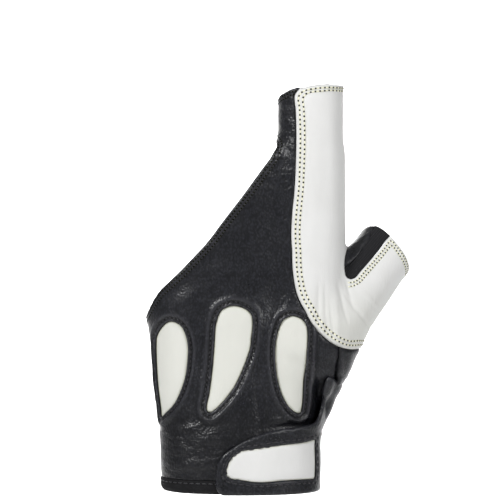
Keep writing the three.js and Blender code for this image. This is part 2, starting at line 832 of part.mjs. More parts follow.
const group = new THREE.Group();
const firstPieces = sortFaces(pieceAt);
for (const { name, rise, wall, material } of firstLayer) {
  const faces = net.faces.filter((face) => firstPieces.get(face) === name);
  group.add(leatherPiece(name, faces, rise - wall, rise, material));
}

// The hook pad lies on the cuff, and the strap with its white insert lies over both.
const strapUnder = bindingRise + pieceGap + hookPadWall;
const upperLayers = [
  { name: "hook_pad", sort: hookPieceAt, from: pieceGap, wall: hookPadWall - pieceGap / 2, material: tape },
  { name: "closure_strap", sort: strapPieceAt, from: strapUnder, wall: strapWall, material: grainedLeather },
  { name: "strap_insert", sort: strapPieceAt, from: strapUnder, wall: insertWall, material: whiteLeather },
];
for (const { name, sort, from, wall, material } of upperLayers) {
  const pieceOf = sortFaces(sort);
  const faces = net.faces.filter((face) => pieceOf.get(face) === name);
  group.add(leatherPiece(name, faces, from, from + wall, material));
}

export default group;
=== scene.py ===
import collections
import itertools
import math

import bpy
import numpy as np
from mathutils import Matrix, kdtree


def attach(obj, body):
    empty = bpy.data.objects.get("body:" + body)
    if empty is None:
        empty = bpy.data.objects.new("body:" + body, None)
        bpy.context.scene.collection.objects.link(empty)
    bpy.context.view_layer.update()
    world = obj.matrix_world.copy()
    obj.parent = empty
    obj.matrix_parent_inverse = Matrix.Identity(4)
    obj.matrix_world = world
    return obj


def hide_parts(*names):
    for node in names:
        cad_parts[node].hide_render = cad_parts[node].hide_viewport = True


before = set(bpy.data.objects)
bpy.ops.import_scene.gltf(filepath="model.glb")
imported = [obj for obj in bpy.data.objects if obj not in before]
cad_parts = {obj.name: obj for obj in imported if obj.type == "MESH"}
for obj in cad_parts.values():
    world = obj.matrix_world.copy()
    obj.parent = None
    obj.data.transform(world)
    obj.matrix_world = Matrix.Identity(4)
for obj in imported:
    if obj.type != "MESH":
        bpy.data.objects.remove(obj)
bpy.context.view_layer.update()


def new_object(name, data):
    made = bpy.data.objects.new(name, data)
    bpy.context.scene.collection.objects.link(made)
    return made


# The view. The glove is seen square on to the back of the hand from 900 mm away, with 210 mm of it across
# the frame. Lengths are in millimetres from here on, and become metres where a mesh is made.
camera_data = bpy.data.cameras.new("front_view")
camera_data.sensor_width = 36
camera_data.lens = 154.3
camera_data.clip_start, camera_data.clip_end = 0.05, 30
camera = new_object("front_view", camera_data)
camera.location = (0.0044, -0.9, 0.1006)
camera.rotation_euler = (math.radians(90), 0, 0)
bpy.context.scene.camera = camera


def from_front(points):
    """Where places on the glove are seen from the front, on the upright plane through the wrist's middle."""
    nearer = 900 / (900 + points[:, 1])
    return 4.4 + (points[:, 0] - 4.4) * nearer, 100.6 + (points[:, 2] - 100.6) * nearer


# The worn leather. Garment leather takes the form of the hand in it: a palm, an index finger and a thumb,
# joined by soft webs. All panels are cut from one closed net over that form, as on a last.
hand_rows = np.array([  # up, left side, right side, back, palm
    (-11.9, -32.21, 30.23, -21.38, 21.6), (0, -32.34, 30.36, -21.38, 22.05), (10.2, -33, 30.69, -21.38, 22.5),
    (24.65, -33.66, 31.22, -21.02, 23.85), (34, -34.58, 35.31, -20.25, 25.65),
    (44.03, -36.17, 39.6, -19.35, 27), (54.23, -36.96, 46.2, -18.59, 27.45), (64.09, -37.95, 47.85, -18, 27),
    (74.12, -39.07, 44.88, -17.55, 24.75), (88.06, -38.54, 40.92, -16.88, 20.25),
    (108.12, -36.96, 38.94, -16.2, 16.65), (128.18, -34.98, 37.62, -15.3, 12.6),
    (152.83, -33, 36.3, -13.95, 9),
])
thumb_rows = np.array([  # along from its rim, outer side, inner side, back, palm
    (-62, 17, 14, 14.88, 15.84), (-40.92, 16.5, 13.75, 14.4, 14.88), (-20.46, 14.38, 13.25, 12.96, 12.96),
    (0, 12.5, 12.5, 12, 12), (12.4, 12.25, 12.25, 11.52, 11.52),
])
hand_end = [(-59.4, 204), (9.9, 204), (12.54, 151.13), (14.65, 144.67), (9.44, 134.47), (-8.12, 111.18),
            (-24.88, 91.8), (-34.32, 82.79), (-37.95, 75.82), (-46.2, 66.98)]
worn_folds = [  # across, up, half length, half width, turn, height
    (10.9, 57.5, 19.8, 3.6, -4, 0.92), (30, 57.5, 18.5, 3.3, -2, 0.79), (33, 36.7, 10.6, 3.3, -14, -1.58),
    (-16.5, 21.3, 13.2, 4.6, 86, 0.59), (-16.5, 12.8, 13.2, 4, 92, 0.53),
]
squareness, end_round, past_edge = 2.35, 6.0, 7.35
index_across, index_deep, index_low, index_high = 29.3, -4.05, 59.5, 181.9
index_half_width, index_half_depth = 13.3, 12.0
thumb_rim = np.array([61.71, 9.0, 100.64])


def smooth_loop(corners):
    """Closed curve through the corners of an outline."""
    here = np.array(corners, float)
    before, after, beyond = np.roll(here, 1, 0), np.roll(here, -1, 0), np.roll(here, -2, 0)
    span = lambda a, b: np.maximum(np.sum((b - a) ** 2, 1) ** 0.25, 1e-4)[:, None]
    first, middle, last = span(before, here), span(here, after), span(after, beyond)
    leave = ((here - before) / first - (after - before) / (first + middle) + (after - here) / middle) * middle
    reach = ((after - here) / middle - (beyond - here) / (middle + last) + (beyond - after) / last) * middle
    t = np.linspace(0, 1, 6, endpoint=False)[:, None, None]
    curve = (2 * here - 2 * after + leave + reach) * t**3
    curve = curve + (3 * after - 3 * here - 2 * leave - reach) * t**2 + leave * t + here
    return curve.transpose(1, 0, 2).reshape(-1, 2)


def outline_distance(loop, x, z):
    """Distance to a closed outline in the front view, below zero inside it."""
    nearest, inside = np.full(np.shape(x), 1e9), np.zeros(np.shape(x), bool)
    for (from_x, from_z), (to_x, to_z) in zip(loop, np.roll(loop, -1, 0)):
        run, rise = to_x - from_x, to_z - from_z
        share = np.clip(((x - from_x) * run + (z - from_z) * rise) / max(run * run + rise * rise, 1e-9), 0, 1)
        nearest = np.minimum(nearest, np.hypot(x - from_x - share * run, z - from_z - share * rise))
        if rise:
            inside ^= ((from_z > z) != (to_z > z)) & (x < from_x + (z - from_z) * run / rise)
    return np.where(inside, -nearest, nearest)


def between_rows(rows):
    """A limb's sizes at any place along it, on a smooth curve through the rows of its table."""
    place, last = rows[:, 0], len(rows) - 1
    fine = np.linspace(place[0], place[-1], 800)
    i = np.clip(np.searchsorted(place, fine, side="right"), 1, last)
    start, end = place[i - 1], place[i]
    ahead = 0.5 * (end - start) / (start - np.where(i > 1, place[np.maximum(i - 2, 0)], end))
    behind = 0.5 * (end - start) / (np.where(i < last, place[np.minimum(i + 1, last)], start) - end)
    t = (fine - start) / (end - start)
    shares = (
        (np.where(i > 1, i - 2, i), -ahead * t**3 + 2 * ahead * t**2 - ahead * t),
        (i - 1, (1 + ahead) * t**3 - (1.5 + 2 * ahead) * t**2 + (ahead - 0.5) * t + 1),
        (i, (-1 - behind) * t**3 + (1.5 + behind) * t**2 + 0.5 * t),
        (np.where(i < last, i + 1, i - 1), behind * (t**3 - t**2)),
    )
    sizes = sum(share[:, None] * rows[row, 1:] for row, share in shares).T
    return lambda at: [np.interp(at, fine, size) for size in sizes]


hand_sizes, thumb_sizes = between_rows(hand_rows), between_rows(thumb_rows)
end_x, end_z = np.arange(-60, 100, 0.5), np.arange(-25, 200, 0.5)
end_map = outline_distance(smooth_loop(hand_end), *np.meshgrid(end_x, end_z, indexing="ij"))


def beyond_hand_end(x, z):
    """How far a place is from the slanted edge that the bare fingers come out of, below zero beyond it."""
    across = np.clip((x - end_x[0]) / 0.5, 0, len(end_x) - 1.001)
    up = np.clip((z - end_z[0]) / 0.5, 0, len(end_z) - 1.001)
    i, j = across.astype(int), up.astype(int)
    a, b = across - i, up - j
    low = end_map[i, j] * (1 - a) + end_map[i + 1, j] * a
    return low * (1 - b) + (end_map[i, j + 1] * (1 - a) + end_map[i + 1, j + 1] * a) * b


def rising(rise, turn):
    """A direction that rises in the front view and turns away towards the palm."""
    rise, turn = math.radians(rise), math.radians(turn)
    return np.array([math.cos(rise) * math.cos(turn), math.sin(turn), math.sin(rise) * math.cos(turn)])


thumb_axis, thumb_outer_side, thumb_rim_normal = rising(50, 11), rising(-40, 0), rising(41, 25)
thumb_back_side = np.cross(thumb_outer_side, thumb_axis)


def webbed(first, second, web):
    """A union of two round forms with their joint filled by a soft web."""
    fill = np.maximum(web - np.abs(first - second), 0) / web
    return np.minimum(first, second) - fill * fill * web / 4


def oval(across, deep, half_across, half_deep):
    """Distance to a squarish oval section, below zero inside it."""
    reach = np.abs(across / half_across) ** squareness + np.abs(deep / half_deep) ** squareness
    return (reach ** (1 / squareness) - 1) * np.minimum(half_across, half_deep)


def rounded_cut(form, cut):
    return -webbed(-form, -cut, end_round)


def limbs(x, y, z):
    """Each limb's distance, and how far a place lies towards its palm side."""
    left, right, back, palm = hand_sizes(z)
    deep = y - (back + palm) / 2
    side = oval(x - (left + right) / 2, deep, (right - left) / 2, (palm - back) / 2)
    above = np.maximum(-beyond_hand_end(x, z) - past_edge, z - 142.8)
    hand = rounded_cut(rounded_cut(side, -z - past_edge), above), deep
    side = oval(x - index_across, y - index_deep, index_half_width, index_half_depth)
    index = rounded_cut(side, np.maximum(index_low - z, z - index_high)), y - index_deep
    away = x - thumb_rim[0], y - thumb_rim[1], z - thumb_rim[2]
    ways = thumb_axis, thumb_outer_side, thumb_back_side
    along, beside, backward = (sum(part * size for part, size in zip(away, way)) for way in ways)
    outer, inner, back, palm = thumb_sizes(along)
    side = oval(beside, backward, np.where(beside > 0, outer, inner), np.where(backward > 0, back, palm))
    thumb = rounded_cut(side, np.maximum(-along - 62, along - past_edge - end_round)), -backward
    return hand, index, thumb


def fold_height(rows, x, z):
    """Height of soft folds, and of creases where it is below zero, as seen from the front."""
    height = 0
    for across, up, length, width, turn, high in rows:
        turn = math.radians(turn)
        along = ((z - up) * math.cos(turn) + (x - across) * math.sin(turn)) / length
        beside = ((x - across) * math.cos(turn) - (z - up) * math.sin(turn)) / width
        height = height + high * np.exp(-(along**4) - beside**2)
    return height


def worn_form(x, y, z):
    """Zero on the outer face of the worn leather, below zero inside it."""
    hand, index, thumb = limbs(x, y, z)
    hull = webbed(webbed(hand[0], index[0], 6.0), thumb[0], 5.0)
    on_back = np.clip(-y / 7.5, 0, 1)
    return hull - on_back**2 * (3 - 2 * on_back) * fold_height(worn_folds, x, z)


def palm_side(points):
    """Below zero on the back of the hand, finger or thumb, and above it past the side seam."""
    parts = limbs(*points.T)
    weights = [np.exp(-np.maximum(distance, -12) / 6) for distance, _ in parts]
    return sum(w * palmward for w, (_, palmward) in zip(weights, parts)) / sum(weights) - 3


def slope(points):
    step = 0.03 * np.eye(3)
    return np.stack([worn_form(*(points + s).T) - worn_form(*(points - s).T) for s in step], 1) / 0.06


def settle(points):
    """Moves places onto the worn form."""
    for _ in range(2):
        steep = slope(points)
        points = points - steep * (worn_form(*points.T) / np.maximum(np.sum(steep**2, 1), 0.05))[:, None]
    return points


def outward(points):
    steep = slope(points)
    return steep / np.linalg.norm(steep, axis=1, keepdims=True)


def net_over_form(step):
    """A net of four-sided faces over the form, with one point in each grid cell that its surface crosses."""
    low = np.array([-50.0, -30.0, -20.0])
    x, y, z = (np.arange(a, b, step) for a, b in zip(low, (94.0, 34.0, 190.0)))
    form = worn_form(x[:, None, None], y[None, :, None], z[None, None, :])
    rings = (
        [(0, 0, 0), (0, -1, 0), (0, -1, -1), (0, 0, -1)],
        [(0, 0, 0), (0, 0, -1), (-1, 0, -1), (-1, 0, 0)],
        [(0, 0, 0), (-1, 0, 0), (-1, -1, 0), (0, -1, 0)],
    )
    cells, crossings, quads = [], [], []
    for axis, ring in enumerate(rings):
        ahead = np.moveaxis(form, axis, 0)
        at = np.argwhere((ahead[:-1] < 0) != (ahead[1:] < 0))
        at = np.insert(at[:, 1:], axis, at[:, 0], axis=1)
        first = form[tuple(at.T)]
        crossing = at.astype(float)
        crossing[:, axis] += first / (first - form[tuple((at + np.eye(3, dtype=int)[axis]).T)])
        around = np.stack([np.ravel_multi_index((at + offset).T, form.shape) for offset in ring], 1)
        cells.append(around.T.ravel())
        crossings.append(np.tile(crossing, (4, 1)))
        quads.append(np.where(first[:, None] < 0, around, around[:, ::-1]))
    kept, place = np.unique(np.concatenate(cells), return_inverse=True)
    crossings = np.concatenate(crossings)
    points = np.stack([np.bincount(place, crossings[:, axis]) for axis in range(3)], 1)
    points = points / np.bincount(place)[:, None] * step + low
    return points, np.searchsorted(kept, np.concatenate(quads))


def even_out(points, quads, rounds):
    """Draws each point to the middle of its neighbours, then back onto the form."""
    start, end = np.concatenate([quads[:, [i, (i + 1) % 4]] for i in range(4)]).T
    count = np.bincount(start)[:, None]
    for _ in range(rounds):
        middle = np.stack([np.bincount(start, points[end, axis]) for axis in range(3)], 1) / count
        points = settle(points + 0.6 * (middle - points))
    return points


class Net:
    """Three-cornered faces over the form, and whether each point already lies on a seam."""

    def __init__(self, points, faces, on_seam):
        self.points, self.faces, self.on_seam = points, faces, on_seam

    def middles(self):
        return self.points[self.faces].mean(1)

    def copy(self):
        return Net(self.points.copy(), self.faces.copy(), self.on_seam.copy())

    def take(self, chosen):
        """The chosen faces as a net of their own. They are cut out of this one."""
        used, faces = np.unique(self.faces[chosen], return_inverse=True)
        taken = Net(self.points[used], faces.reshape(-1, 3), self.on_seam[used])
        self.faces = self.faces[~chosen]
        return taken

    def cut_along(self, seam, where=None, close=0.24):
        """Cuts the faces along the line where seam is zero. A point that is close to it is moved onto it."""
        values = seam(self.points)
        faces = self.faces if where is None else self.faces[where(self.middles())]
        ways = faces[:, [0, 1, 1, 2, 2, 0, 1, 0, 2, 1, 0, 2]].reshape(-1, 2)
        ways = ways[values[ways[:, 0]] * values[ways[:, 1]] < 0]
        share = values[ways[:, 0]] / (values[ways[:, 0]] - values[ways[:, 1]])
        near = share < np.where(self.on_seam[ways[:, 0]], close / 2, close)
        ways, share = ways[near], share[near]
        order = np.lexsort((share, ways[:, 0]))
        moved, first = np.unique(ways[order, 0], return_index=True)
        far, share = ways[order, 1][first], share[order][first]
        free = ~self.on_seam[moved]
        share = share[free, None]
        target = self.points[moved[free]] * (1 - share) + self.points[far[free]] * share
        self.points[moved[free]] = settle(target)
        self.on_seam[moved] = True
        values[moved] = 0
        sides = np.sort(faces[:, [0, 1, 1, 2, 2, 0]].reshape(-1, 2), axis=1)
        sides = np.unique(sides[values[sides[:, 0]] * values[sides[:, 1]] < 0], axis=0)
        if not len(sides):
            return
        share = (values[sides[:, 0]] / (values[sides[:, 0]] - values[sides[:, 1]]))[:, None]
        new = settle(self.points[sides[:, 0]] * (1 - share) + self.points[sides[:, 1]] * share)
        total = len(self.points)
        keys = sides[:, 0] * total + sides[:, 1]
        self.points = np.concatenate([self.points, new])
        self.on_seam = np.concatenate([self.on_seam, np.ones(len(new), bool)])
        pairs = np.sort(self.faces[:, [[0, 1], [1, 2], [2, 0]]], axis=2)
        wanted = pairs[..., 0] * total + pairs[..., 1]
        found = np.minimum(np.searchsorted(keys, wanted), len(keys) - 1)
        cuts = np.where(keys[found] == wanted, found + total, -1)
        count = (cuts >= 0).sum(1)
        made = [self.faces[count == 0]]
        one = np.flatnonzero(count == 1)
        turn = (np.argmax(cuts[one] >= 0, 1)[:, None] + [0, 1, 2]) % 3
        a, b, c = np.take_along_axis(self.faces[one], turn, 1).T
        m = cuts[one].max(1)
        made += [np.stack([a, m, c], 1), np.stack([m, b, c], 1)]
        two = np.flatnonzero(count == 2)
        turn = (np.argmax(cuts[two] < 0, 1)[:, None] + [0, 1, 2]) % 3
        b, c, a = np.take_along_axis(self.faces[two], turn, 1).T
        _, after_c, after_a = np.take_along_axis(cuts[two], turn, 1).T
        length = lambda p, q: np.linalg.norm(self.points[p] - self.points[q], axis=1)
        short = length(b, after_c) < length(c, after_a)
        made += [np.stack([a, after_a, after_c], 1)]
        made += [np.where(short[:, None], np.stack([after_a, b, after_c], 1), np.stack([after_a, b, c], 1))]
        made += [np.where(short[:, None], np.stack([b, c, after_c], 1), np.stack([after_a, c, after_c], 1))]
        three = np.flatnonzero(count == 3)
        (a, b, c), (ab, bc, ca) = self.faces[three].T, cuts[three].T
        made += [np.stack(face, 1) for face in ((a, ab, ca), (b, bc, ab), (c, ca, bc), (ab, bc, ca))]
        self.faces = np.concatenate(made)

    def cut_out(self, seam, where=None):
        """Cuts out what lies inside a seam, below zero, and gives it as a net of its own."""
        self.cut_along(seam, where)
        middles = self.middles()
        inside = seam(middles) < 0
        return self.take(inside if where is None else inside & where(middles))

    def rim(self):
        """Each open edge of the net, in the direction of its face."""
        sides = self.faces[:, [0, 1, 1, 2, 2, 0]].reshape(-1, 2)
        total = len(self.points)
        back = np.isin(sides[:, 0] * total + sides[:, 1], sides[:, 1] * total + sides[:, 0])
        return sides[~back]

    def without_crumbs(self, size=40):
        """The net without specks of a few faces that a seam left on its wrong side."""
        group = np.arange(len(self.points))
        while True:
            lowest = group[self.faces].min(1)
            spread = group.copy()
            np.minimum.at(spread, self.faces.ravel(), np.repeat(lowest, 3))
            spread = spread[spread]
            if (spread == group).all():
                break
            group = spread
        faces_in = np.bincount(group[self.faces[:, 0]], minlength=len(group))
        return self.take(faces_in[group[self.faces[:, 0]]] > size)


mesh_step = 0.8
points, quads = net_over_form(mesh_step)
points = even_out(points, quads, 3)
a, b, c, d = quads.T
diagonal = lambda i, j: np.linalg.norm(points[i] - points[j], axis=1)
short = (diagonal(a, c) < diagonal(b, d))[:, None]
faces = np.concatenate([
    np.where(short, np.stack([a, b, c], 1), np.stack([a, b, d], 1)),
    np.where(short, np.stack([a, c, d], 1), np.stack([b, c, d], 1)),
])
skin = Net(points, faces, np.zeros(len(points), bool))

# Its open edges: the cuff, the slanted edge for the bare fingers, and the rims of index finger and thumb
finger_edge = smooth_loop([
    (-75.4, 201.4), (6.5, 201.4), (9.4, 172), (12, 154.4), (15.4, 144.7), (14.1, 141.8), (12.8, 139.2),
    (9.4, 134.6), (4.4, 127.7), (0.2, 122), (-4, 116.6), (-8.2, 111.1), (-12.4, 105.4), (-16.6, 100.6),
    (-20.8, 96.2), (-25, 91.8), (-29.2, 87.8), (-33.4, 83.8), (-35.8, 80.4), (-37.6, 76.7), (-39.7, 72),
    (-46, 64.9), (-75.4, 60.7),
])
index_rim = np.array([
    (12.8, 163.6), (15.9, 164.2), (17, 165.9), (19.1, 167), (21.2, 168.1), (23.7, 168.8), (26.7, 168.6),
    (29.6, 169.5), (33.8, 170), (38, 170.3), (42.6, 169.9), (46.4, 169.5),
]).T


def past(outline):
    """A function that gives how far places are past an outline in the front view, below zero inside it."""
    return lambda points: outline_distance(outline, *from_front(points))


def past_index_rim(points):
    x, z = from_front(points)
    return np.interp(x, *index_rim) - z


def past_thumb_rim(points):
    return -(points - thumb_rim) @ thumb_rim_normal


def near_thumb_rim(points):
    return (limbs(*points.T)[2][0] < 5) & (points[:, 0] > 42.6)


skin.cut_out(lambda at: at[:, 2])
skin.cut_out(past_index_rim)
skin.cut_out(past_thumb_rim, near_thumb_rim)
skin.cut_out(past(finger_edge))
whole_skin = skin.copy()


# The cuff's binding: black woven tape about 13 mm wide, folded over the cuff's raw edge and sewn down with
# one row of black thread near its upper edge. It is a soft roll at the bottom.

def add(tree, kind, inputs=(), **settings):
    """Adds a node to a tree, with its settings, and with its inputs' values or links."""
    made = tree.nodes.new(kind)
    for setting, value in settings.items():
        setattr(made, setting, value)
    for socket, value in dict(inputs).items():
        if isinstance(value, bpy.types.NodeSocket):
            tree.links.new(value, made.inputs[socket])
        else:
            made.inputs[socket].default_value = value
    return made


def shade(code):
    """A colour given as sRGB hex, in linear values."""
    parts = [int(code[i:i + 2], 16) / 255 for i in (1, 3, 5)]
    linear = [c / 12.92 if c <= 0.04045 else ((c + 0.055) / 1.055) ** 2.4 for c in parts]
    return (*linear, 1.0)


def new_finish(name, inputs):
    """A material with its tree, its surface shader, which has the inputs, and the place on its object."""
    finish = bpy.data.materials.new(name)
    finish.use_nodes = True
    tree = finish.node_tree
    tree.nodes.clear()
    surface = add(tree, "ShaderNodeBsdfPrincipled", inputs)
    add(tree, "ShaderNodeOutputMaterial", {"Surface": surface.outputs["BSDF"]})
    place = add(tree, "ShaderNodeTexCoord").outputs["Object"]
    return finish, tree, surface, place


def blend(tree, share, first, second):
    """A colour between two others, each given as sRGB hex or as another node's output."""
    first, second = (shade(colour) if isinstance(colour, str) else colour for colour in (first, second))
    return add(tree, "ShaderNodeMix", {0: share, 6: first, 7: second}, data_type="RGBA").outputs[2]


def engrave(tree, surface, *reliefs):
    """Gives a surface its reliefs, the finest first: each one's height, its depth in metres, its strength."""
    normal = {}
    for height, depth, strength in reliefs:
        inputs = {"Height": height, "Distance": depth, "Strength": strength, **normal}
        normal = {"Normal": add(tree, "ShaderNodeBump", inputs).outputs[0]}
    tree.links.new(normal["Normal"], surface.inputs["Normal"])


# Black polyester tape, plain woven, which is matt. Its weft is drawn 0.6 mm apart and its warp 1.5 mm, as
# finer ones wouldn't show: a wave texture repeats every 0.31 m over its scale, and 0.63 m on a diagonal.
binding_tape, tree, surface, place = new_finish("black_woven_tape", {
    "Roughness": 0.8, "Specular IOR Level": 0.25,
})
weft = add(tree, "ShaderNodeTexWave", {
    "Vector": place, "Scale": 520.0, "Distortion": 0.6,
}, bands_direction="Z")
warp = add(tree, "ShaderNodeTexWave", {
    "Vector": place, "Scale": 420.0, "Distortion": 0.6,
}, bands_direction="DIAGONAL")
weave = add(tree, "ShaderNodeMath", {0: weft.outputs["Fac"], 1: warp.outputs["Fac"]}, operation="MULTIPLY")
fuzz = add(tree, "ShaderNodeTexNoise", {"Vector": place, "Scale": 700.0, "Detail": 3.0})
tree.links.new(blend(tree, fuzz.outputs["Fac"], "#0A0A0B", "#18181B"), surface.inputs["Base Color"])
engrave(tree, surface, (weave.outputs[0], 0.0002, 0.5))

# Relief over the form, in mm: what the hand, thread and folded edges do to leather and tape
lattice = np.random.default_rng(17).random((32, 32, 32))


def unevenness(points, size):
    """Smooth random heights from -1 to 1, in bumps of a size given across, deep and up."""
    place = points / np.array(size)
    low = np.floor(place).astype(int)
    share = (place - low) ** 2 * (3 - 2 * (place - low))
    total = 0
    for corner in itertools.product((0, 1), repeat=3):
        at = (low + corner) % 32
        total = total + np.prod(np.where(corner, share, 1 - share), axis=1) * lattice[tuple(at.T)]
    return 2 * total - 1


def ridge(distance, at, width, height):
    """A soft ridge along an edge, or a groove where its height is below zero."""
    return height * np.exp(-(((distance - at) / width) ** 2))


def turned_edge(distance, radius):
    """How far a rounded edge falls away."""
    inner = radius - np.clip(distance, 0, radius)
    return np.sqrt(np.maximum(radius**2 - inner**2, 0)) - radius


def sewn_piece(name, net, under, over, finish, slot, replaced, draw_in=0.12, **notes):
    """A closed sheet of leather or cloth between two heights over the form. Notes are values at its points
    that its material reads. Gives its outer face: places, directions and faces."""
    upright = outward(net.points)
    rim = net.rim()
    along = net.points[rim[:, 1]] - net.points[rim[:, 0]]
    along = along / np.maximum(np.linalg.norm(along, axis=1, keepdims=True), 1e-9)
    inward = np.zeros_like(net.points)
    for end in (0, 1):
        np.add.at(inward, rim[:, end], np.cross(upright[rim[:, end]], along))
    spread = np.maximum(np.sum(inward**2, 1, keepdims=True), 1.2)
    base = net.points + inward * (2 * draw_in / spread)
    outer = base + upright * np.broadcast_to(over, len(base))[:, None]
    inner = base + upright * np.broadcast_to(under, len(base))[:, None]
    count = len(base)
    a, b = rim.T
    walls = [np.stack([a, a + count, b], 1), np.stack([a + count, b + count, b], 1)]
    faces = np.concatenate([net.faces, net.faces[:, ::-1] + count, *walls])
    mesh = bpy.data.meshes.new(name)
    mesh.vertices.add(2 * count)
    mesh.vertices.foreach_set("co", (np.concatenate([outer, inner]) / 1000).ravel())
    mesh.loops.add(faces.size)
    mesh.loops.foreach_set("vertex_index", faces.ravel())
    mesh.polygons.add(len(faces))
    mesh.polygons.foreach_set("loop_start", np.arange(0, faces.size, 3))
    mesh.polygons.foreach_set("use_smooth", np.ones(len(faces), bool))
    mesh.update(calc_edges=True)
    for note, values in notes.items():
        values = np.tile(np.broadcast_to(values, count), 2).astype(np.float32)
        mesh.attributes.new(note, "FLOAT", "POINT").data.foreach_set("value", values)
    mesh.materials.append(finish)
    piece = new_object(name, mesh)
    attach(piece, "root")
    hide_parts(replaced)
    return outer, upright, net.faces


binding_top, binding_row = 6, 4.6
binding = skin.cut_out(lambda at: at[:, 2] - binding_top)
up = binding.points[:, 2]
rise = 0.55 + 0.8 * turned_edge(up, 2.6) + 0.6 * turned_edge(binding_top - up, 0.9)
rise = rise + ridge(up, binding_row, 0.5, -0.3)
rise = rise + 0.15 * unevenness(binding.points, (5, 5, 2))
binding_face = sewn_piece("cuff_binding_tape", binding, -1.6, rise, binding_tape, "binding_tape",
                          "cuff_binding")


def line_on(face, values, level, where=None):
    """Lines on a piece's outer face along which values pass a level: lists of places with directions."""
    places, upright, faces = face
    high = values > level
    sides = np.sort(faces[:, [0, 1, 1, 2, 2, 0]].reshape(-1, 3, 2), axis=2)
    crossed = high[sides[..., 0]] != high[sides[..., 1]]
    passed = crossed.sum(1) == 2
    keys, link = np.unique(sides[passed][crossed[passed]], axis=0, return_inverse=True)
    a, b = keys.T
    share = ((level - values[a]) / (values[b] - values[a]))[:, None]
    place = places[a] * (1 - share) + places[b] * share
    normal = upright[a] * (1 - share) + upright[b] * share
    links = link.reshape(-1, 2)
    if where is not None:
        links = links[where(place)[links].all(1)]
    beside = collections.defaultdict(list)
    for first, second in links.tolist():
        beside[first].append(second)
        beside[second].append(first)
    lines, seen = [], set()
    for start in sorted(beside, key=lambda key: (len(beside[key]) != 1, key)):
        if start in seen:
            continue
        chain = [start]
        seen.add(start)
        while True:
            ahead = [key for key in beside[chain[-1]] if key not in seen]
            if not ahead:
                break
            chain.append(ahead[0])
            seen.add(ahead[0])
        if len(chain) > 2 and chain[0] in beside[chain[-1]]:
            chain.append(chain[0])
        both = np.hstack([place[chain], normal[chain]])
        run = np.concatenate([[0], np.cumsum(np.linalg.norm(np.diff(both[:, :3], axis=0), axis=1))])
        if run[-1] < 4:
            continue
        even = np.linspace(0, run[-1], max(int(run[-1] / 0.5), 8))
        both = np.stack([np.interp(even, run, column) for column in both.T], 1)
        for _ in range(4):
            both[1:-1] = (both[:-2] + 2 * both[1:-1] + both[2:]) / 4
        lines.append(both)
    return lines


# Thread. Each seam is a lockstitch: a thread lies on the leather from one needle hole to the next, and is
# drawn a little into it. A row of stitches is made along its line by one tree of Geometry Nodes.
sewn_row = bpy.data.node_groups.new("sewn_row", "GeometryNodeTree")
sewn_row.interface.new_socket("Geometry", in_out="INPUT", socket_type="NodeSocketGeometry")
for label, length in (
    ("Pitch", 2.2), ("Start", 0.0), ("Length", 1.6), ("Width", 0.5), ("Height", 0.4), ("Lift", 0.0),
):
    socket = sewn_row.interface.new_socket(label, in_out="INPUT", socket_type="NodeSocketFloat")
    socket.default_value = length / 1000
sewn_row.interface.new_socket("Thread", in_out="INPUT", socket_type="NodeSocketMaterial")
sewn_row.interface.new_socket("Geometry", in_out="OUTPUT", socket_type="NodeSocketGeometry")
given = add(sewn_row, "NodeGroupInput").outputs
line = add(sewn_row, "GeometryNodeMeshToCurve", {"Mesh": given["Geometry"]})
evenly = add(sewn_row, "GeometryNodeResampleCurve", {
    "Curve": line.outputs[0], "Length": given["Pitch"],
}, mode="LENGTH")
upright = add(sewn_row, "GeometryNodeInputNamedAttribute", {"Name": "upright"}, data_type="FLOAT_VECTOR")
tangent = add(sewn_row, "GeometryNodeInputTangent")
turn = add(sewn_row, "FunctionNodeAxesToRotation", {
    "Primary Axis": upright.outputs["Attribute"], "Secondary Axis": tangent.outputs[0],
}, primary_axis="Z", secondary_axis="X")
bead = add(sewn_row, "GeometryNodeMeshUVSphere", {"Segments": 8, "Rings": 6, "Radius": 0.5})
size = add(sewn_row, "ShaderNodeCombineXYZ", {
    "X": given["Length"], "Y": given["Width"], "Z": given["Height"],
})
shift = add(sewn_row, "ShaderNodeCombineXYZ", {"X": given["Start"], "Z": given["Lift"]})
stitch = add(sewn_row, "GeometryNodeTransform", {
    "Geometry": bead.outputs["Mesh"], "Scale": size.outputs[0], "Translation": shift.outputs[0],
})
smooth = add(sewn_row, "GeometryNodeSetShadeSmooth", {"Geometry": stitch.outputs[0]})
row = add(sewn_row, "GeometryNodeInstanceOnPoints", {
    "Points": evenly.outputs[0], "Instance": smooth.outputs[0], "Rotation": turn.outputs[0],
})
real = add(sewn_row, "GeometryNodeRealizeInstances", {"Geometry": row.outputs[0]})
threaded = add(sewn_row, "GeometryNodeSetMaterial", {
    "Geometry": real.outputs[0], "Material": given["Thread"],
})
add(sewn_row, "NodeGroupOutput", {"Geometry": threaded.outputs[0]})


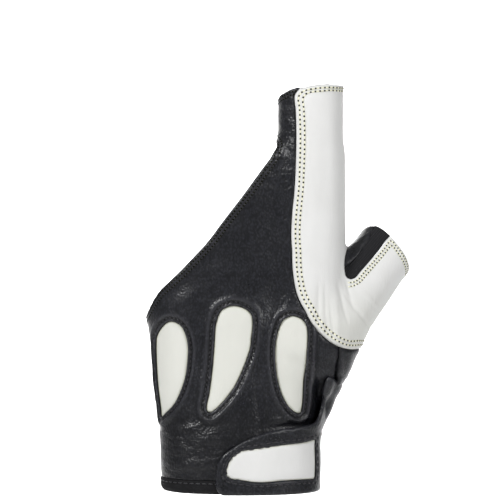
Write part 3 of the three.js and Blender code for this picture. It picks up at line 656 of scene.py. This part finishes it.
def stitches(name, lines, thread, slot, **sizes):
    """Rows of stitches along lines on the leather, as one piece."""
    places, upright, edges = [], [], []
    for both in lines:
        first = len(places)
        places += (both[:, :3] / 1000).tolist()
        upright += both[:, 3:].tolist()
        edges += [(i, i + 1) for i in range(first, len(places) - 1)]
    mesh = bpy.data.meshes.new(name)
    mesh.from_pydata(places, edges, [])
    mesh.attributes.new("upright", "FLOAT_VECTOR", "POINT").data.foreach_set("vector", np.ravel(upright))
    guide = new_object(name, mesh)
    modifier = guide.modifiers.new("sewn_row", "NODES")
    modifier.node_group = sewn_row
    for socket in sewn_row.interface.items_tree:
        if socket.in_out == "INPUT" and socket.name.lower() in sizes:
            modifier[socket.identifier] = sizes[socket.name.lower()] / 1000
        if socket.name == "Thread":
            modifier[socket.identifier] = thread
    bpy.context.view_layer.update()
    evaluated = guide.evaluated_get(bpy.context.evaluated_depsgraph_get())
    made = bpy.data.meshes.new_from_object(evaluated)
    guide.modifiers.remove(modifier)
    guide.data = made
    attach(guide, "root")


def thread_finish(name, colour, roughness):
    """Twisted polyester thread. Its strands are too fine to show, so they are drawn coarser."""
    finish, tree, surface, place = new_finish(name, {"Base Color": shade(colour), "Roughness": roughness})
    twist = add(tree, "ShaderNodeTexWave", {
        "Vector": place, "Scale": 1600.0, "Distortion": 1.0,
    }, bands_direction="DIAGONAL")
    engrave(tree, surface, (twist.outputs["Fac"], 0.00005, 0.6))
    return finish


# Black thread of about 0.4 mm, shinier than the leather and tape it lies in
black_thread = thread_finish("black_polyester_thread", "#28282C", 0.35)
row = line_on(binding_face, up, binding_row)
stitches("binding_stitches", row, black_thread, "binding_tape",
         pitch=2.7, length=2.1, width=0.55, height=0.4, lift=0.05)


# The guard: one piece of smooth white cowhide over the back of the index finger, the web and the thumb,
# laid on the black leather and sewn all round with two rows of pale thread. Its cut edge is turned under.

# White cowhide, tanned through and coated: half matt, a little uneven in tone, with pores 0.6 mm apart, long
# soft creases, and painted shade in its stitch grooves and at edges under other pieces, tinted yellowish like
# light cast by the pale thread
white_leather, tree, surface, place = new_finish("smooth_white_cowhide", {
    "Roughness": 0.55, "Specular IOR Level": 0.35,
})
patches = add(tree, "ShaderNodeTexNoise", {"Vector": place, "Scale": 60.0, "Detail": 4.0, "Roughness": 0.55})
pores = add(tree, "ShaderNodeTexNoise", {"Vector": place, "Scale": 1800.0, "Detail": 3.0, "Roughness": 0.6})
stretched = add(tree, "ShaderNodeMapping", {"Vector": place, "Scale": (2.4, 2.4, 0.7)})
creases = add(tree, "ShaderNodeTexNoise", {
    "Vector": stretched.outputs[0], "Scale": 70.0, "Detail": 5.0, "Roughness": 0.55, "Distortion": 0.8,
})
engrave(tree, surface, (pores.outputs["Fac"], 0.00006, 0.4), (creases.outputs["Fac"], 0.0009, 0.3))
# The colour is darkened and tinted yellow where each piece asks for it: painted shade, yellowish like light
# from the pale thread
sunk = add(tree, "ShaderNodeAttribute", attribute_name="sunk").outputs["Fac"]
hue = blend(tree, patches.outputs["Fac"], "#DADAD8", "#E8E8E7")
tree.links.new(blend(tree, sunk, hue, "#C4C6AE"), surface.inputs["Base Color"])

guard_edge = smooth_loop([
    (26, 184.6), (25.4, 169), (24.2, 167.3), (23.1, 165.4), (23.5, 159.4), (23.8, 148.9), (23.7, 142.6),
    (23.3, 130.4), (22.8, 123.3), (22.1, 116.6), (21.7, 109.4), (21.7, 104.8), (22, 100.2), (22.2, 93),
    (23.6, 83.8), (25.4, 78.8), (27.5, 75), (29.6, 71), (32.1, 67.4), (37.2, 62.6), (40.1, 60.7),
    (43, 59.4), (46.4, 58.8),
    (50.2, 59.2), (56.9, 59), (80, 64.9), (96.8, 83.8), (96.8, 125.8), (75.8, 117), (70.8, 112.8),
    (65.3, 108.2), (62.4, 105.8), (59, 101.2), (54.8, 96.2), (50.6, 91.4), (48.5, 89), (46.4, 88.4),
    (44.7, 89.7), (43.9, 92.2), (43.9, 97.2), (45.1, 101.4), (47.7, 106.5), (50.6, 117.4), (51.4, 184.6),
])
past_guard = past(guard_edge)
inner_side = -1.4


def on_back(points):
    return palm_side(points) < 0


def sewn_to_hand(points):
    """Where the guard's rows run along index finger and hand, from 0 to 1. They stop at the side seams."""
    x, z = from_front(points)
    place = np.maximum(np.clip((38 - x) / 3, 0, 1), np.maximum((z - 117) / 4, (82 - z) / 3))
    return np.clip(place, 0, 1) * (palm_side(points) < -2)


def sewn_to_thumb(points):
    """Where they run along the thumb. There are none on the side of the web that faces the index finger."""
    x, z = from_front(points)
    return np.clip((x - 44) / 3, 0, 1) * (z >= 80) * (palm_side(points) < -1.5)


skin.cut_along(palm_side)
guard = skin.cut_out(past_guard, on_back).without_crumbs()
inside_guard = -past_guard(guard.points)
from_index_rim = past_index_rim(guard.points)
from_thumb_rim = past_thumb_rim(guard.points)
from_rims = np.where(near_thumb_rim(guard.points), from_thumb_rim, from_index_rim)
to_thumb = np.clip((guard.points[:, 0] - 44) / 5, 0, 1) * (guard.points[:, 2] > 76)
guard_worked = np.minimum(inside_guard * (1 + 0.3 * to_thumb), from_rims * 1.35)
sewn = np.maximum(sewn_to_hand(guard.points), sewn_to_thumb(guard.points))
outer_row, inner_row = 1.9, 3.6
rise = 0.75 + turned_edge(guard_worked, 0.8)
rise = rise + ridge(guard_worked, 1.0, 0.6, 0.2) + sewn * ridge(guard_worked, 2.75, 0.5, 0.16)
grooves = ridge(guard_worked, outer_row, 0.35, -0.15) + ridge(guard_worked, inner_row, 0.35, -0.18)
rise = rise + sewn * grooves
seen = from_front(guard.points)
guard_folds = [  # across, up, half length, half width, turn, height
    (29.7, 78, 12, 1.4, 4, 0.25), (33, 76, 11, 0.9, 2, -0.45), (36.2, 74, 12, 0.8, -3, -0.5),
    (38.4, 71, 9, 0.7, -6, -0.45), (40.4, 76, 9, 1.0, -8, 0.25), (43, 78, 8, 0.8, -14, -0.4),
    (50, 74, 9, 0.9, -38, -0.4), (54, 80, 8, 1.1, -40, 0.35), (46, 82, 6, 0.8, -16, -0.4),
    (57, 76, 7, 0.8, -42, -0.3), (31, 120, 22, 2.2, 2, 0.2), (36, 140, 20, 2.0, -1, -0.15),
]
rise = rise + fold_height(guard_folds, *seen) + 0.12 * unevenness(guard.points, (7, 9, 16))
# Painted shade in the two stitch grooves, and the guard a little darker towards its bottom
sunk_rows = np.maximum(ridge(guard_worked, outer_row, 0.4, 0.6), ridge(guard_worked, inner_row, 0.4, 0.6))
sunk_rows = np.maximum(sewn * sunk_rows, 0.2 * np.clip((88 - seen[1]) / 20, 0, 1))
guard_face = sewn_piece("guard_leather", guard, inner_side, rise, white_leather, "white_leather",
                        "guard_panel", sunk=sunk_rows)

# Pale thread of about 0.4 mm, a little yellow against the white leather
pale_thread = thread_finish("pale_polyester_thread", "#F2F0D6", 0.6)

# Painted shade in the needle holes: a dark bead between two stitches, olive where pale thread goes down into
# it
needle_hole, tree, surface, place = new_finish("needle_hole_shade", {
    "Roughness": 1.0, "Specular IOR Level": 0.0,
})
depth = add(tree, "ShaderNodeTexNoise", {"Vector": place, "Scale": 500.0})
tree.links.new(blend(tree, depth.outputs["Fac"], "#0E0F08", "#26281A"), surface.inputs["Base Color"])

for name, level in (("outer", outer_row), ("inner", inner_row)):
    for part, sewn_to, pitch in (("hand", sewn_to_hand, 1.95), ("thumb", sewn_to_thumb, 1.4)):
        rows = line_on(guard_face, guard_worked, level, lambda at: sewn_to(at) > 0.6)
        stitches(f"guard_stitches_{part}_{name}", rows, pale_thread, "white_leather",
                 pitch=pitch, length=0.75 * pitch, width=0.75, height=0.5, lift=0.0)
        stitches(f"guard_hole_shade_{part}_{name}", rows, needle_hole, "white_leather",
                 pitch=pitch, start=pitch / 2, length=0.42 * pitch, width=0.75, height=0.3, lift=0.1)


# The teardrop inserts: three pieces of white leather set behind cut-outs in the back, where they let the
# glove give across the knuckles. Each is a little padded by the leather under it, and sits below the rim.
teardrops = {
    "outer": smooth_loop([
        (-29.2, 70.6), (-32.4, 68.7), (-35, 64.5), (-35.5, 60.7), (-35.4, 54.4), (-35, 47), (-34.4, 40.8),
        (-33.5, 33.4), (-33.1, 30.6), (-31.3, 32.3), (-28.1, 35.5), (-25, 41.4), (-22.9, 48.1), (-22.1, 54.4),
        (-21.9, 59.6), (-22.9, 64.9), (-25, 68.7),
    ]),
    "middle": smooth_loop([
        (-2.4, 77.2), (2.3, 75.8), (4.9, 73.3), (5.4, 69.1), (4.9, 63.8), (4.4, 59.6), (2.8, 54.4),
        (0.2, 48.1), (-2.9, 42.2), (-6.1, 38), (-9.2, 34.7), (-12.4, 32.4), (-13.7, 33.1), (-14, 34.5),
        (-12.9, 40.1), (-11.9, 47), (-11.1, 54.4), (-10.6, 61.7), (-10.3, 67), (-9.5, 71.2), (-7.8, 75),
        (-5.7, 76.4),
    ]),
    "inner": smooth_loop([
        (22.8, 72.9), (25.9, 71.6), (28, 68.7), (28.5, 64.9), (28.3, 59.6), (27.8, 53.3), (27.1, 46),
        (26.9, 39.7), (26.6, 35.5), (25.7, 32.1), (24.4, 32.1), (21.2, 34.5), (18.6, 38.6), (16.7, 43.9),
        (15.7, 49.1), (15.2, 54.4), (15.4, 62.4), (16.5, 67), (18.1, 70.8), (20.7, 72.5),
    ]),
}
for name, loop in teardrops.items():
    insert = skin.cut_out(past(loop), on_back)
    inside = -past(loop)(insert.points)
    rise = -0.75 + 0.5 * np.clip(inside / 5, 0, 1) ** 0.7 + 0.08 * unevenness(insert.points, (4, 6, 6))
    # Painted shade along the insert's edge, where it lies under the black leather's rim, and a slightly
    # darker, yellower tint over all of it
    sewn_piece(f"teardrop_leather_{name}", insert, -1.5, rise, white_leather, "white_leather",
               f"teardrop_insert_{name}", draw_in=0.02, sunk=0.3 + 0.55 * np.clip(1 - inside / 0.7, 0, 1))


# The gusset: a strip of black ribbed stretch knit along the inner side of the thumb, between the guard and
# the palm's leather, which lets the thumb bend. It is matt and lies a little lower. Its ribs are 0.9 mm
# apart.
stretch_knit, tree, surface, place = new_finish("black_rib_knit", {
    "Roughness": 0.95, "Specular IOR Level": 0.2, "Sheen Weight": 0.1,
})
along_thumb = add(tree, "ShaderNodeMapping", {"Vector": place, "Rotation": (0.0, math.radians(-40), 0.0)})
ribs = add(tree, "ShaderNodeTexWave", {"Vector": along_thumb.outputs[0], "Scale": 360.0, "Distortion": 0.3})
loops = add(tree, "ShaderNodeTexWave", {
    "Vector": along_thumb.outputs[0], "Scale": 520.0, "Distortion": 0.5,
}, bands_direction="Z")
knitted = add(tree, "ShaderNodeMath", {0: ribs.outputs["Fac"], 1: loops.outputs["Fac"]}, operation="MULTIPLY")
engrave(tree, surface, (knitted.outputs[0], 0.0003, 0.6))
tree.links.new(blend(tree, knitted.outputs[0], "#1B1B1D", "#2C2C2F"), surface.inputs["Base Color"])

gusset_edge = smooth_loop([
    (25.4, 79.6), (25.4, 90.5), (44.7, 93.5), (46.4, 94.7), (48.1, 96.4), (49.3, 98.1), (50.6, 99.8),
    (51.9, 101.9), (53.5, 103.5), (54.8, 105.6), (55.2, 107.7), (56.5, 109.8), (59, 119.5), (84.2, 121.6),
    (84.2, 79.6),
])


def in_thumb_gap(points):
    """The back's side between index finger and thumb, which the guard leaves open."""
    beside_guard = on_back(points) & (past_guard(points) > -0.01)
    return beside_guard & (points[:, 0] > 29.3) & (points[:, 2] > below_web)


below_web = 76.5
past_gusset = past(gusset_edge)
gusset = skin.cut_out(past_gusset, in_thumb_gap).without_crumbs()
rise = -0.1 + 0.1 * unevenness(gusset.points, (3, 3, 3))
sewn_piece("thumb_gusset_knit", gusset, inner_side, rise, stretch_knit, "stretch_knit", "thumb_gusset",
           draw_in=0.02)


# The palm: black goatskin over the palm's side of hand, index finger and thumb, which comes round the
# thumb's side of the wrist as far as an upright seam. Its side seams are sewn to the back and the guard.

# Black goatskin, drum dyed and pressed with a fine grain. It gives a soft broken gloss on small pebbles
# about 0.7 mm across and 1.3 mm long, with creases 2 mm apart where it was worn. Its colour has painted
# shade in grooves and along edges, and painted highlights on rolled edges and ridges.
black_leather, tree, surface, place = new_finish("black_grained_goatskin", {"Specular IOR Level": 0.37})
warp = add(tree, "ShaderNodeTexNoise", {"Vector": place, "Scale": 560.0, "Detail": 2.0})
bent = add(tree, "ShaderNodeVectorMath", {
    0: warp.outputs["Color"], 1: (0.001, 0.001, 0.001), 2: place,
}, operation="MULTIPLY_ADD")
along_hand = add(tree, "ShaderNodeMapping", {"Vector": bent.outputs[0], "Scale": (1.3, 1.1, 0.75)})
pebbles = add(tree, "ShaderNodeTexVoronoi", {
    "Vector": along_hand.outputs[0], "Scale": 1050.0, "Smoothness": 0.4,
}, feature="SMOOTH_F1")
pores = add(tree, "ShaderNodeTexNoise", {"Vector": place, "Scale": 1100.0, "Detail": 1.0})
patches = add(tree, "ShaderNodeTexNoise", {"Vector": place, "Scale": 70.0, "Detail": 6.0, "Roughness": 0.62})
stretched = add(tree, "ShaderNodeMapping", {"Vector": bent.outputs[0], "Scale": (1.0, 1.0, 2.3)})
creases = add(tree, "ShaderNodeTexNoise", {
    "Vector": stretched.outputs[0], "Scale": 210.0, "Detail": 3.0, "Roughness": 0.5, "Distortion": 0.8,
})
wrinkled = add(tree, "ShaderNodeAttribute", attribute_name="wrinkled").outputs["Fac"]
sunk = add(tree, "ShaderNodeAttribute", attribute_name="sunk").outputs["Fac"]
rubbed = add(tree, "ShaderNodeAttribute", attribute_name="rubbed").outputs["Fac"]
crease_height = add(tree, "ShaderNodeMath", {0: creases.outputs["Fac"], 1: wrinkled}, operation="MULTIPLY")
grain = add(tree, "ShaderNodeMath", {
    0: pebbles.outputs["Distance"], 1: -1.0, 2: pores.outputs["Fac"],
}, operation="MULTIPLY_ADD")
engrave(tree, surface, (grain.outputs[0], 0.00014, 0.8), (crease_height.outputs[0], 0.0009, 0.8))
tops = add(tree, "ShaderNodeMapRange", {"Value": grain.outputs[0], "From Min": -0.15, "From Max": 0.4,
                                        "To Min": 0.0, "To Max": 0.6})
hue = blend(tree, patches.outputs["Fac"], "#0F1013", "#191A1E")
# Paler grain tops, then painted highlights on rolled edges and ridges, then painted shade in grooves, along
# edges and low on the cuff
for share, toward in ((tops.outputs[0], "#2E2F36"), (rubbed, "#4C4C52"), (sunk, "#060607")):
    hue = blend(tree, share, hue, toward)
tree.links.new(hue, surface.inputs["Base Color"])
gloss = add(tree, "ShaderNodeMapRange", {"Value": patches.outputs["Fac"], "From Min": 0.3, "From Max": 0.7,
                                         "To Min": 0.25, "To Max": 0.4})
tree.links.new(gloss.outputs[0], surface.inputs["Roughness"])

wrist_seam = smooth_loop([
    (41.6, 64.9), (41.6, 59.9), (41.4, 55.7), (40.5, 51.5), (39.7, 46), (36.3, 41.4), (34.6, 35.9),
    (33.2, 28.8), (32.1, 22.1), (30.4, 14.5), (30, 6.1), (30, -17), (96.8, -17), (96.8, 64.9),
])


def of_palm(points):
    """Whether places belong to the palm's leather."""
    gap = in_thumb_gap(points) & (past_gusset(points) > 0)
    wrist = (past(wrist_seam)(points) < 0) & (points[:, 2] < below_web)
    return ~on_back(points) | gap | wrist


def beside_guard_below(points):
    return on_back(points) & (points[:, 2] < below_web)


def distance_from(net, where):
    """A function that gives how far places are from those open edges of a net whose middles satisfy where."""
    start, end = net.points[net.rim().T]
    kept = where((start + end) / 2)
    start, end = start[kept], end[kept]
    cloud = np.concatenate([start + (end - start) * share for share in (0, 0.25, 0.5, 0.75)])
    tree = kdtree.KDTree(len(cloud))
    for index, place in enumerate(cloud):
        tree.insert(place, index)
    tree.balance()
    return lambda places: np.array([tree.find(place)[2] for place in places])


skin.cut_along(past(wrist_seam), beside_guard_below)
palm = skin.take(of_palm(skin.middles())).without_crumbs()
from_edge = distance_from(palm, lambda at: np.ones(len(at), bool))(palm.points)
palm_folds = [  # across, up, half length, half width, turn, height, on the thumb's side of the wrist
    (39.6, 50, 2.6, 0.8, -50, -0.8), (41.8, 50.6, 3, 0.8, -40, 0.4), (38.6, 51.6, 2.5, 0.8, -60, 0.3),
    (45.5, 55, 6, 1.4, 12, 0.3), (44, 60, 5, 1.2, 4, -0.3),
]
rise = turned_edge(from_edge, 0.5) + ridge(from_edge, 1.6, 0.6, 0.15)
on_wrist = np.clip(-palm_side(palm.points) / 3, 0, 1)
rise = rise + on_wrist * fold_height(palm_folds, *from_front(palm.points))
# Beside the strap's root the leather bulges out to meet it
out_to_strap = np.interp(palm.points[:, 2], [42, 43.5, 45, 46.5, 48.5, 51, 55, 62, 70],
                         [0, 0.5, 2.1, 2.75, 2.4, 1.8, 1.1, 0.6, 0])
rise = rise + np.clip((palm.points[:, 0] - 34) / 5, 0, 1) * out_to_strap
rise = rise + 0.35 * unevenness(palm.points, (11, 13, 15)) + 0.12 * unevenness(palm.points, (4, 5, 6))
# Its colour gets painted shade along its edges and a little over all of it, and a painted highlight on the
# ridge beside the edges
sewn_piece("palm_leather", palm, inner_side, rise, black_leather, "black_leather", "palm_panel",
           draw_in=0.05, sunk=np.clip(0.7 - from_edge, 0.15, 0.7), wrinkled=0.4,
           rubbed=ridge(from_edge, 1.6, 0.7, 0.2))


# The back: black goatskin from the cuff to the inner side of the index finger. Its slanted edge, which the
# bare fingers come out of, is turned in and sewn with two rows. Round each cut-out its edge is rolled and
# sewn with one row, and the leather beyond the row is puffed up by it.
back = skin.without_crumbs()
seen = from_front(back.points)
around = []
for loop in teardrops.values():
    on_rim = lambda at: (np.abs(past(loop)(at)) < 0.3) & (palm_side(at) < -0.5)
    around.append(distance_from(back, on_rim)(back.points))
nearest_teardrop = np.minimum.reduce(around)
from_hem = distance_from(back, lambda at: past(finger_edge)(at) < 0.8)(back.points)
from_rim = past_index_rim(back.points)
from_guard = past_guard(back.points)
teardrop_row = 1.6
# The last column says how much painted shade darkens the colour in each row's groove
edge_rows = [  # from which edge, where the row is sewn, width and height of its groove, how dark that is
    (from_hem, 1.3, 0.38, -0.28, 0.8), (from_hem, 2.95, 0.38, -0.32, 0.8),
    (from_rim, 1.3, 0.35, -0.2, 0.9), (from_rim, 2.6, 0.35, -0.2, 0.9),
]
back_folds = [  # across, up, half length, half width, turn, height
    (7.5, 48, 20, 1.5, -3, -0.5), (12.5, 44, 14, 1.2, 2, -0.4), (32.8, 55, 14, 1.4, 0, -0.6),
    (30.5, 58, 16, 1.3, 2, 0.5), (-17, 55, 14, 1.6, 3, 0.45), (-14.5, 50, 12, 1.2, 4, -0.3),
    (22, 27, 14, 1.0, 84, -0.5), (24, 30, 12, 1.0, 84, 0.4), (-30, 27, 6, 0.9, 70, -0.35),
    (-27, 25, 7, 0.9, 80, 0.3), (-12, 28.5, 7, 0.9, 76, 0.3), (32.5, 38, 9, 1.1, 14, -0.7),
    (30.5, 42, 9, 1.4, 12, 0.4), (38.6, 52, 5, 1.0, 8, -0.4), (25, 108, 16, 1.1, -18, 0.3),
    (20, 96, 14, 1.4, -12, -0.3), (10, 84, 14, 2.0, 30, 0.3), (-26, 77, 9, 4.5, 55, 0.9),
    (19.5, 76.5, 5, 1.3, 35, 0.45), (15.5, 79, 6, 1.2, 40, -0.35),
]
# Creases lie across the cuff and slanted across the index finger, and fade towards the side seams
facing = np.clip(-1.6 * outward(back.points)[:, 1], 0.15, 1)
cuff_share = np.clip((31 - back.points[:, 2]) / 8, 0, 1) * np.clip((4 - seen[0]) / 12, 0.25, 1) * facing
cuff_waves = unevenness(back.points + unevenness(back.points, (9, 9, 9))[:, None] * [0, 0, 1.6], (11, 9, 2.3))
index_share = np.clip((seen[1] - 118) / 14, 0, 1) * facing
turned = np.stack([0.8 * back.points[:, 0] - 0.6 * back.points[:, 2], back.points[:, 1],
                   0.6 * back.points[:, 0] + 0.8 * back.points[:, 2]], 1)
index_waves = unevenness(turned, (5, 6, 1.9))
rise = fold_height(back_folds, *seen) + 0.5 * cuff_share * cuff_waves + 0.36 * index_share * index_waves
rise = rise + 0.2 * unevenness(back.points, (9, 10, 14)) + 0.09 * unevenness(back.points, (3, 4, 4))
rise = rise * np.clip((nearest_teardrop - 0.5) / 4, 0.1, 1)
rise = rise + turned_edge(nearest_teardrop, 0.5) + ridge(nearest_teardrop, 0.7, 0.45, 0.4)
rise = rise + ridge(nearest_teardrop, teardrop_row, 0.45, -0.6) + ridge(nearest_teardrop, 3.1, 0.9, 0.75)
rise = rise + turned_edge(from_hem, 0.7) + np.clip((4.6 - from_hem) / 1.2, 0, 1) * 0.35
rise = rise + turned_edge(from_rim, 0.6) - 0.35 * np.clip(1 - from_guard / 0.9, 0, 1)
rise = rise + sum(ridge(*groove) for *groove, dark in edge_rows)
# Painted shade: in the groove round each cut-out and at its edge, along the guard's edge, in the edge rows'
# grooves, and over the low cuff
low_cuff = np.clip((40 - seen[1]) / 12, 0, 1)
sunk_rows = np.maximum.reduce([
    ridge(nearest_teardrop, teardrop_row, 0.6, 0.95), np.clip(1 - nearest_teardrop / 0.35, 0, 1) * 0.9,
    np.clip(1 - from_guard / 0.5, 0, 1) * 0.9, 0.4 * low_cuff,
    *[ridge(from_row_edge, at, 0.45, dark) for from_row_edge, at, width, height, dark in edge_rows],
])
in_patches = np.clip((seen[1] - 74) / 20, 0, 1) * unevenness(back.points, (12, 12, 16)).clip(0, 1)
wrinkled = 0.14 + 0.66 * cuff_share + 0.5 * index_share + 0.3 * in_patches
# Painted highlights on the rolled rims and puffed ridges round the cut-outs, and on the turned edges and
# ridges of hem and rim
rubbed = np.maximum.reduce([
    ridge(nearest_teardrop, 0.55, 0.35, 0.8), ridge(nearest_teardrop, 3.0, 0.6, 0.35),
    ridge(from_hem, 0.6, 0.4, 0.3), ridge(from_hem, 2.1, 0.4, 0.3),
    ridge(from_rim, 0.6, 0.4, 0.5), ridge(from_rim, 1.95, 0.4, 0.5),
])
back_face = sewn_piece("back_leather", back, inner_side, rise, black_leather, "black_leather", "back_panel",
                       draw_in=0.03, sunk=sunk_rows, wrinkled=wrinkled, rubbed=rubbed)
rows = sum((line_on(back_face, from_teardrop, teardrop_row) for from_teardrop in around), [])
stitches("teardrop_stitches", rows, black_thread, "black_leather",
         pitch=1.9, length=1.1, width=0.6, height=0.45, lift=0.1)
rows = sum((line_on(back_face, from_row_edge, at) for from_row_edge, at, *groove in edge_rows), [])
stitches("edge_stitches", rows, black_thread, "black_leather",
         pitch=1.4, length=0.8, width=0.5, height=0.4, lift=0.05)
stitches("edge_hole_shade", rows, needle_hole, "black_leather",
         pitch=1.4, start=0.7, length=0.7, width=0.7, height=0.3, lift=0.08)


# The hook pad: a plain pad of black hook tape between the cuff and the strap, which holds the strap closed.
# Like the strap it lies on the finished cuff, so both are cut from a copy of the whole form.
hook_edge = smooth_loop([(-7.4, 3.2), (-4.8, 11.6), (17, 15.8), (19.1, 4)])
over_skin = whole_skin.copy()
over_skin.cut_along(palm_side)
pad_skin = over_skin.copy()
pad_skin.cut_out(lambda at: at[:, 2] - binding_top)
pad = pad_skin.cut_out(past(hook_edge), on_back)
sewn_piece("hook_tape_pad", pad, 0.3, 0.95, binding_tape, "binding_tape", "hook_pad")


# The closure strap: it grows out of the palm's leather at the thumb's side of the wrist, is pulled over the
# back and the binding, and is held there by hook and loop. A white panel is let into its free end.
strap_edge = smooth_loop([
    (4, -8), (-2, -4.2), (-6, -2.7), (-8.6, -1.2), (-9.7, 1.6), (-9.7, 5), (-9.5, 9), (-8.2, 12.4),
    (-6.1, 15.3), (0.2, 19.5), (6.5, 22.5), (12.8, 24.8), (21.2, 26.3), (26.9, 27.7), (29.4, 28.8),
    (30.8, 31.3), (31.8, 35.5), (33, 40.1), (34.6, 44.4), (36, 46.9), (37.4, 47.8), (38.6, 47.5),
    (39.6, 46.6), (40.8, 46), (46, 45.6), (84.2, 45), (84.2, -17),
])
strap_palm_edge = smooth_loop([
    (6.6, -17), (7.9, 27.4), (23.8, 31.5), (31, 36), (35, 41), (38, 44.6), (40.5, 45.8), (47.5, 45.8),
    (85.8, 45), (85.8, -17),
])
panel_edge = smooth_loop([
    (-5.5, 6.9), (-5, 9.9), (-3.6, 12.8), (-1.5, 14.9), (1, 16.3), (4.4, 16.8), (9.7, 17.6), (17, 18.7),
    (25.4, 20), (29.5, 21.4), (36, 24), (36, 14), (36, 4.9), (29.5, 4.8), (17.4, 4), (8.2, 3.2), (0.2, 4.2),
    (-4, 5),
])


def past_panel(points):
    """Distance to the panel's edge, which runs straight up on the thumb's side of the wrist."""
    return np.maximum(past(panel_edge)(points), palm_side(points) + 12.5)


panel = over_skin.cut_out(past_panel, on_back).without_crumbs()
over_skin.cut_along(past(strap_edge), on_back)
past_palm_edge = lambda at: outline_distance(strap_palm_edge, at[:, 0], at[:, 2])
over_skin.cut_along(past_palm_edge, lambda at: ~on_back(at))
middles = over_skin.middles()
of_strap = np.where(on_back(middles), past(strap_edge)(middles), past_palm_edge(middles)) < 0
strap = over_skin.take(of_strap).without_crumbs()
from_panel = np.abs(past_panel(strap.points))
from_edge = distance_from(strap, lambda at: past_panel(at) > 0.6)(strap.points)
seen = from_front(strap.points)
strap_folds = [  # across, up, half length, half width, turn, height
    (36.9, 41.5, 6.5, 0.9, 27, -1.0), (34, 34, 4, 0.8, 14, -0.6),
    (25, 23.5, 9, 1.0, 84, 0.2), (31.5, 25.5, 4, 0.8, 62, -0.25),
]
root = np.clip((50.8 - strap.points[:, 2]) / 8, 0, 1)
lift = 1.4 * root * root * (3 - 2 * root) + 0.9 * np.clip((strap.points[:, 0] - 18) / 12, 0, 1) * root
panel_row = 1.7
rise = 1.25 + lift + turned_edge(from_edge, 0.6) + turned_edge(from_panel, 0.5)
rise = rise + ridge(from_panel, panel_row, 0.35, -0.18) + ridge(from_edge, 1.6, 0.6, 0.12)
rise = rise + 0.15 * unevenness(strap.points, (6, 7, 4))
rise = rise + np.clip(-palm_side(strap.points) / 3, 0, 1) * fold_height(strap_folds, *seen)
# Painted shade along the white panel's edge, and painted highlights along the strap's edge and beside the
# panel
strap_face = sewn_piece("closure_strap_leather", strap, 0.05 + lift, rise, black_leather, "black_leather",
                        "closure_strap", draw_in=0.05, wrinkled=0.3,
                        sunk=0.6 * np.clip(1 - from_panel / 0.5, 0, 1),
                        rubbed=ridge(from_edge, 0.7, 0.5, 0.15) + ridge(from_panel, 0.7, 0.4, 0.2))
rows = line_on(strap_face, np.where(past_panel(strap.points) > 0, from_panel, 9), panel_row, on_back)
stitches("strap_stitches", rows, black_thread, "black_leather",
         pitch=2.7, length=2.1, width=0.6, height=0.4, lift=0.2)

inside = -past_panel(panel.points)
lift = 0.9 * np.clip((panel.points[:, 0] - 18) / 12, 0, 1)
rise = 2.15 + lift + 0.35 * np.clip(inside / 2.5, 0, 1) ** 0.6 + 0.08 * unevenness(panel.points, (6, 6, 4))
# Painted shade along the panel's edge, where it lies under the strap's leather
sewn_piece("strap_panel_leather", panel, 1.4, rise, white_leather, "white_leather", "strap_insert",
           draw_in=0.02, sunk=0.6 * np.clip(1 - inside / 0.7, 0, 1))


# The studio: a pale sweep far behind and below the glove, a large soft window from the upper left, a
# weaker one from the right, and light all round.
sweep_profile = [(-3.0, -0.45), (1.4, -0.45), (1.9, -0.38), (2.2, -0.15), (2.3, 0.3), (2.3, 4.0)]
sweep_mesh = bpy.data.meshes.new("sweep")
sweep_mesh.from_pydata(
    [(x, y, z) for y, z in sweep_profile for x in (-4.0, 4.0)], [],
    [(2 * i, 2 * i + 1, 2 * i + 3, 2 * i + 2) for i in range(len(sweep_profile) - 1)],
)
sweep = new_object("sweep", sweep_mesh)
paper, *_ = new_finish("white_paper_sweep", {"Base Color": shade("#FFFFFF"), "Roughness": 0.9})
sweep_mesh.materials.append(paper)

for name, stand, width, watts, target in (
    ("window_left", (-0.78, -0.88, 0.92), 0.32, 14.5, (0.0, 0.0, 0.09)),
    ("window_right", (0.95, -1.1, 0.7), 0.6, 8.5, (0.0, 0.0, 0.09)),
    ("sweep_light", (0.0, 1.5, 1.1), 0.9, 45.0, (0.0, 2.3, 0.1)),
):
    light = bpy.data.lights.new(name, "AREA")
    light.shape, light.size, light.energy = "DISK", width, watts
    lamp = new_object(name, light)
    lamp.location = stand
    way = [to - start for to, start in zip(target, stand)]
    lamp.rotation_euler = (math.atan2(math.hypot(way[0], way[1]), -way[2]), 0, math.atan2(-way[0], way[1]))
world = bpy.data.worlds.new("studio")
world.use_nodes = True
world.node_tree.nodes["Background"].inputs["Color"].default_value = (1.0, 1.0, 1.0, 1.0)
world.node_tree.nodes["Background"].inputs["Strength"].default_value = 0.24
bpy.context.scene.world = world
bpy.context.scene.view_settings.view_transform = "Standard"
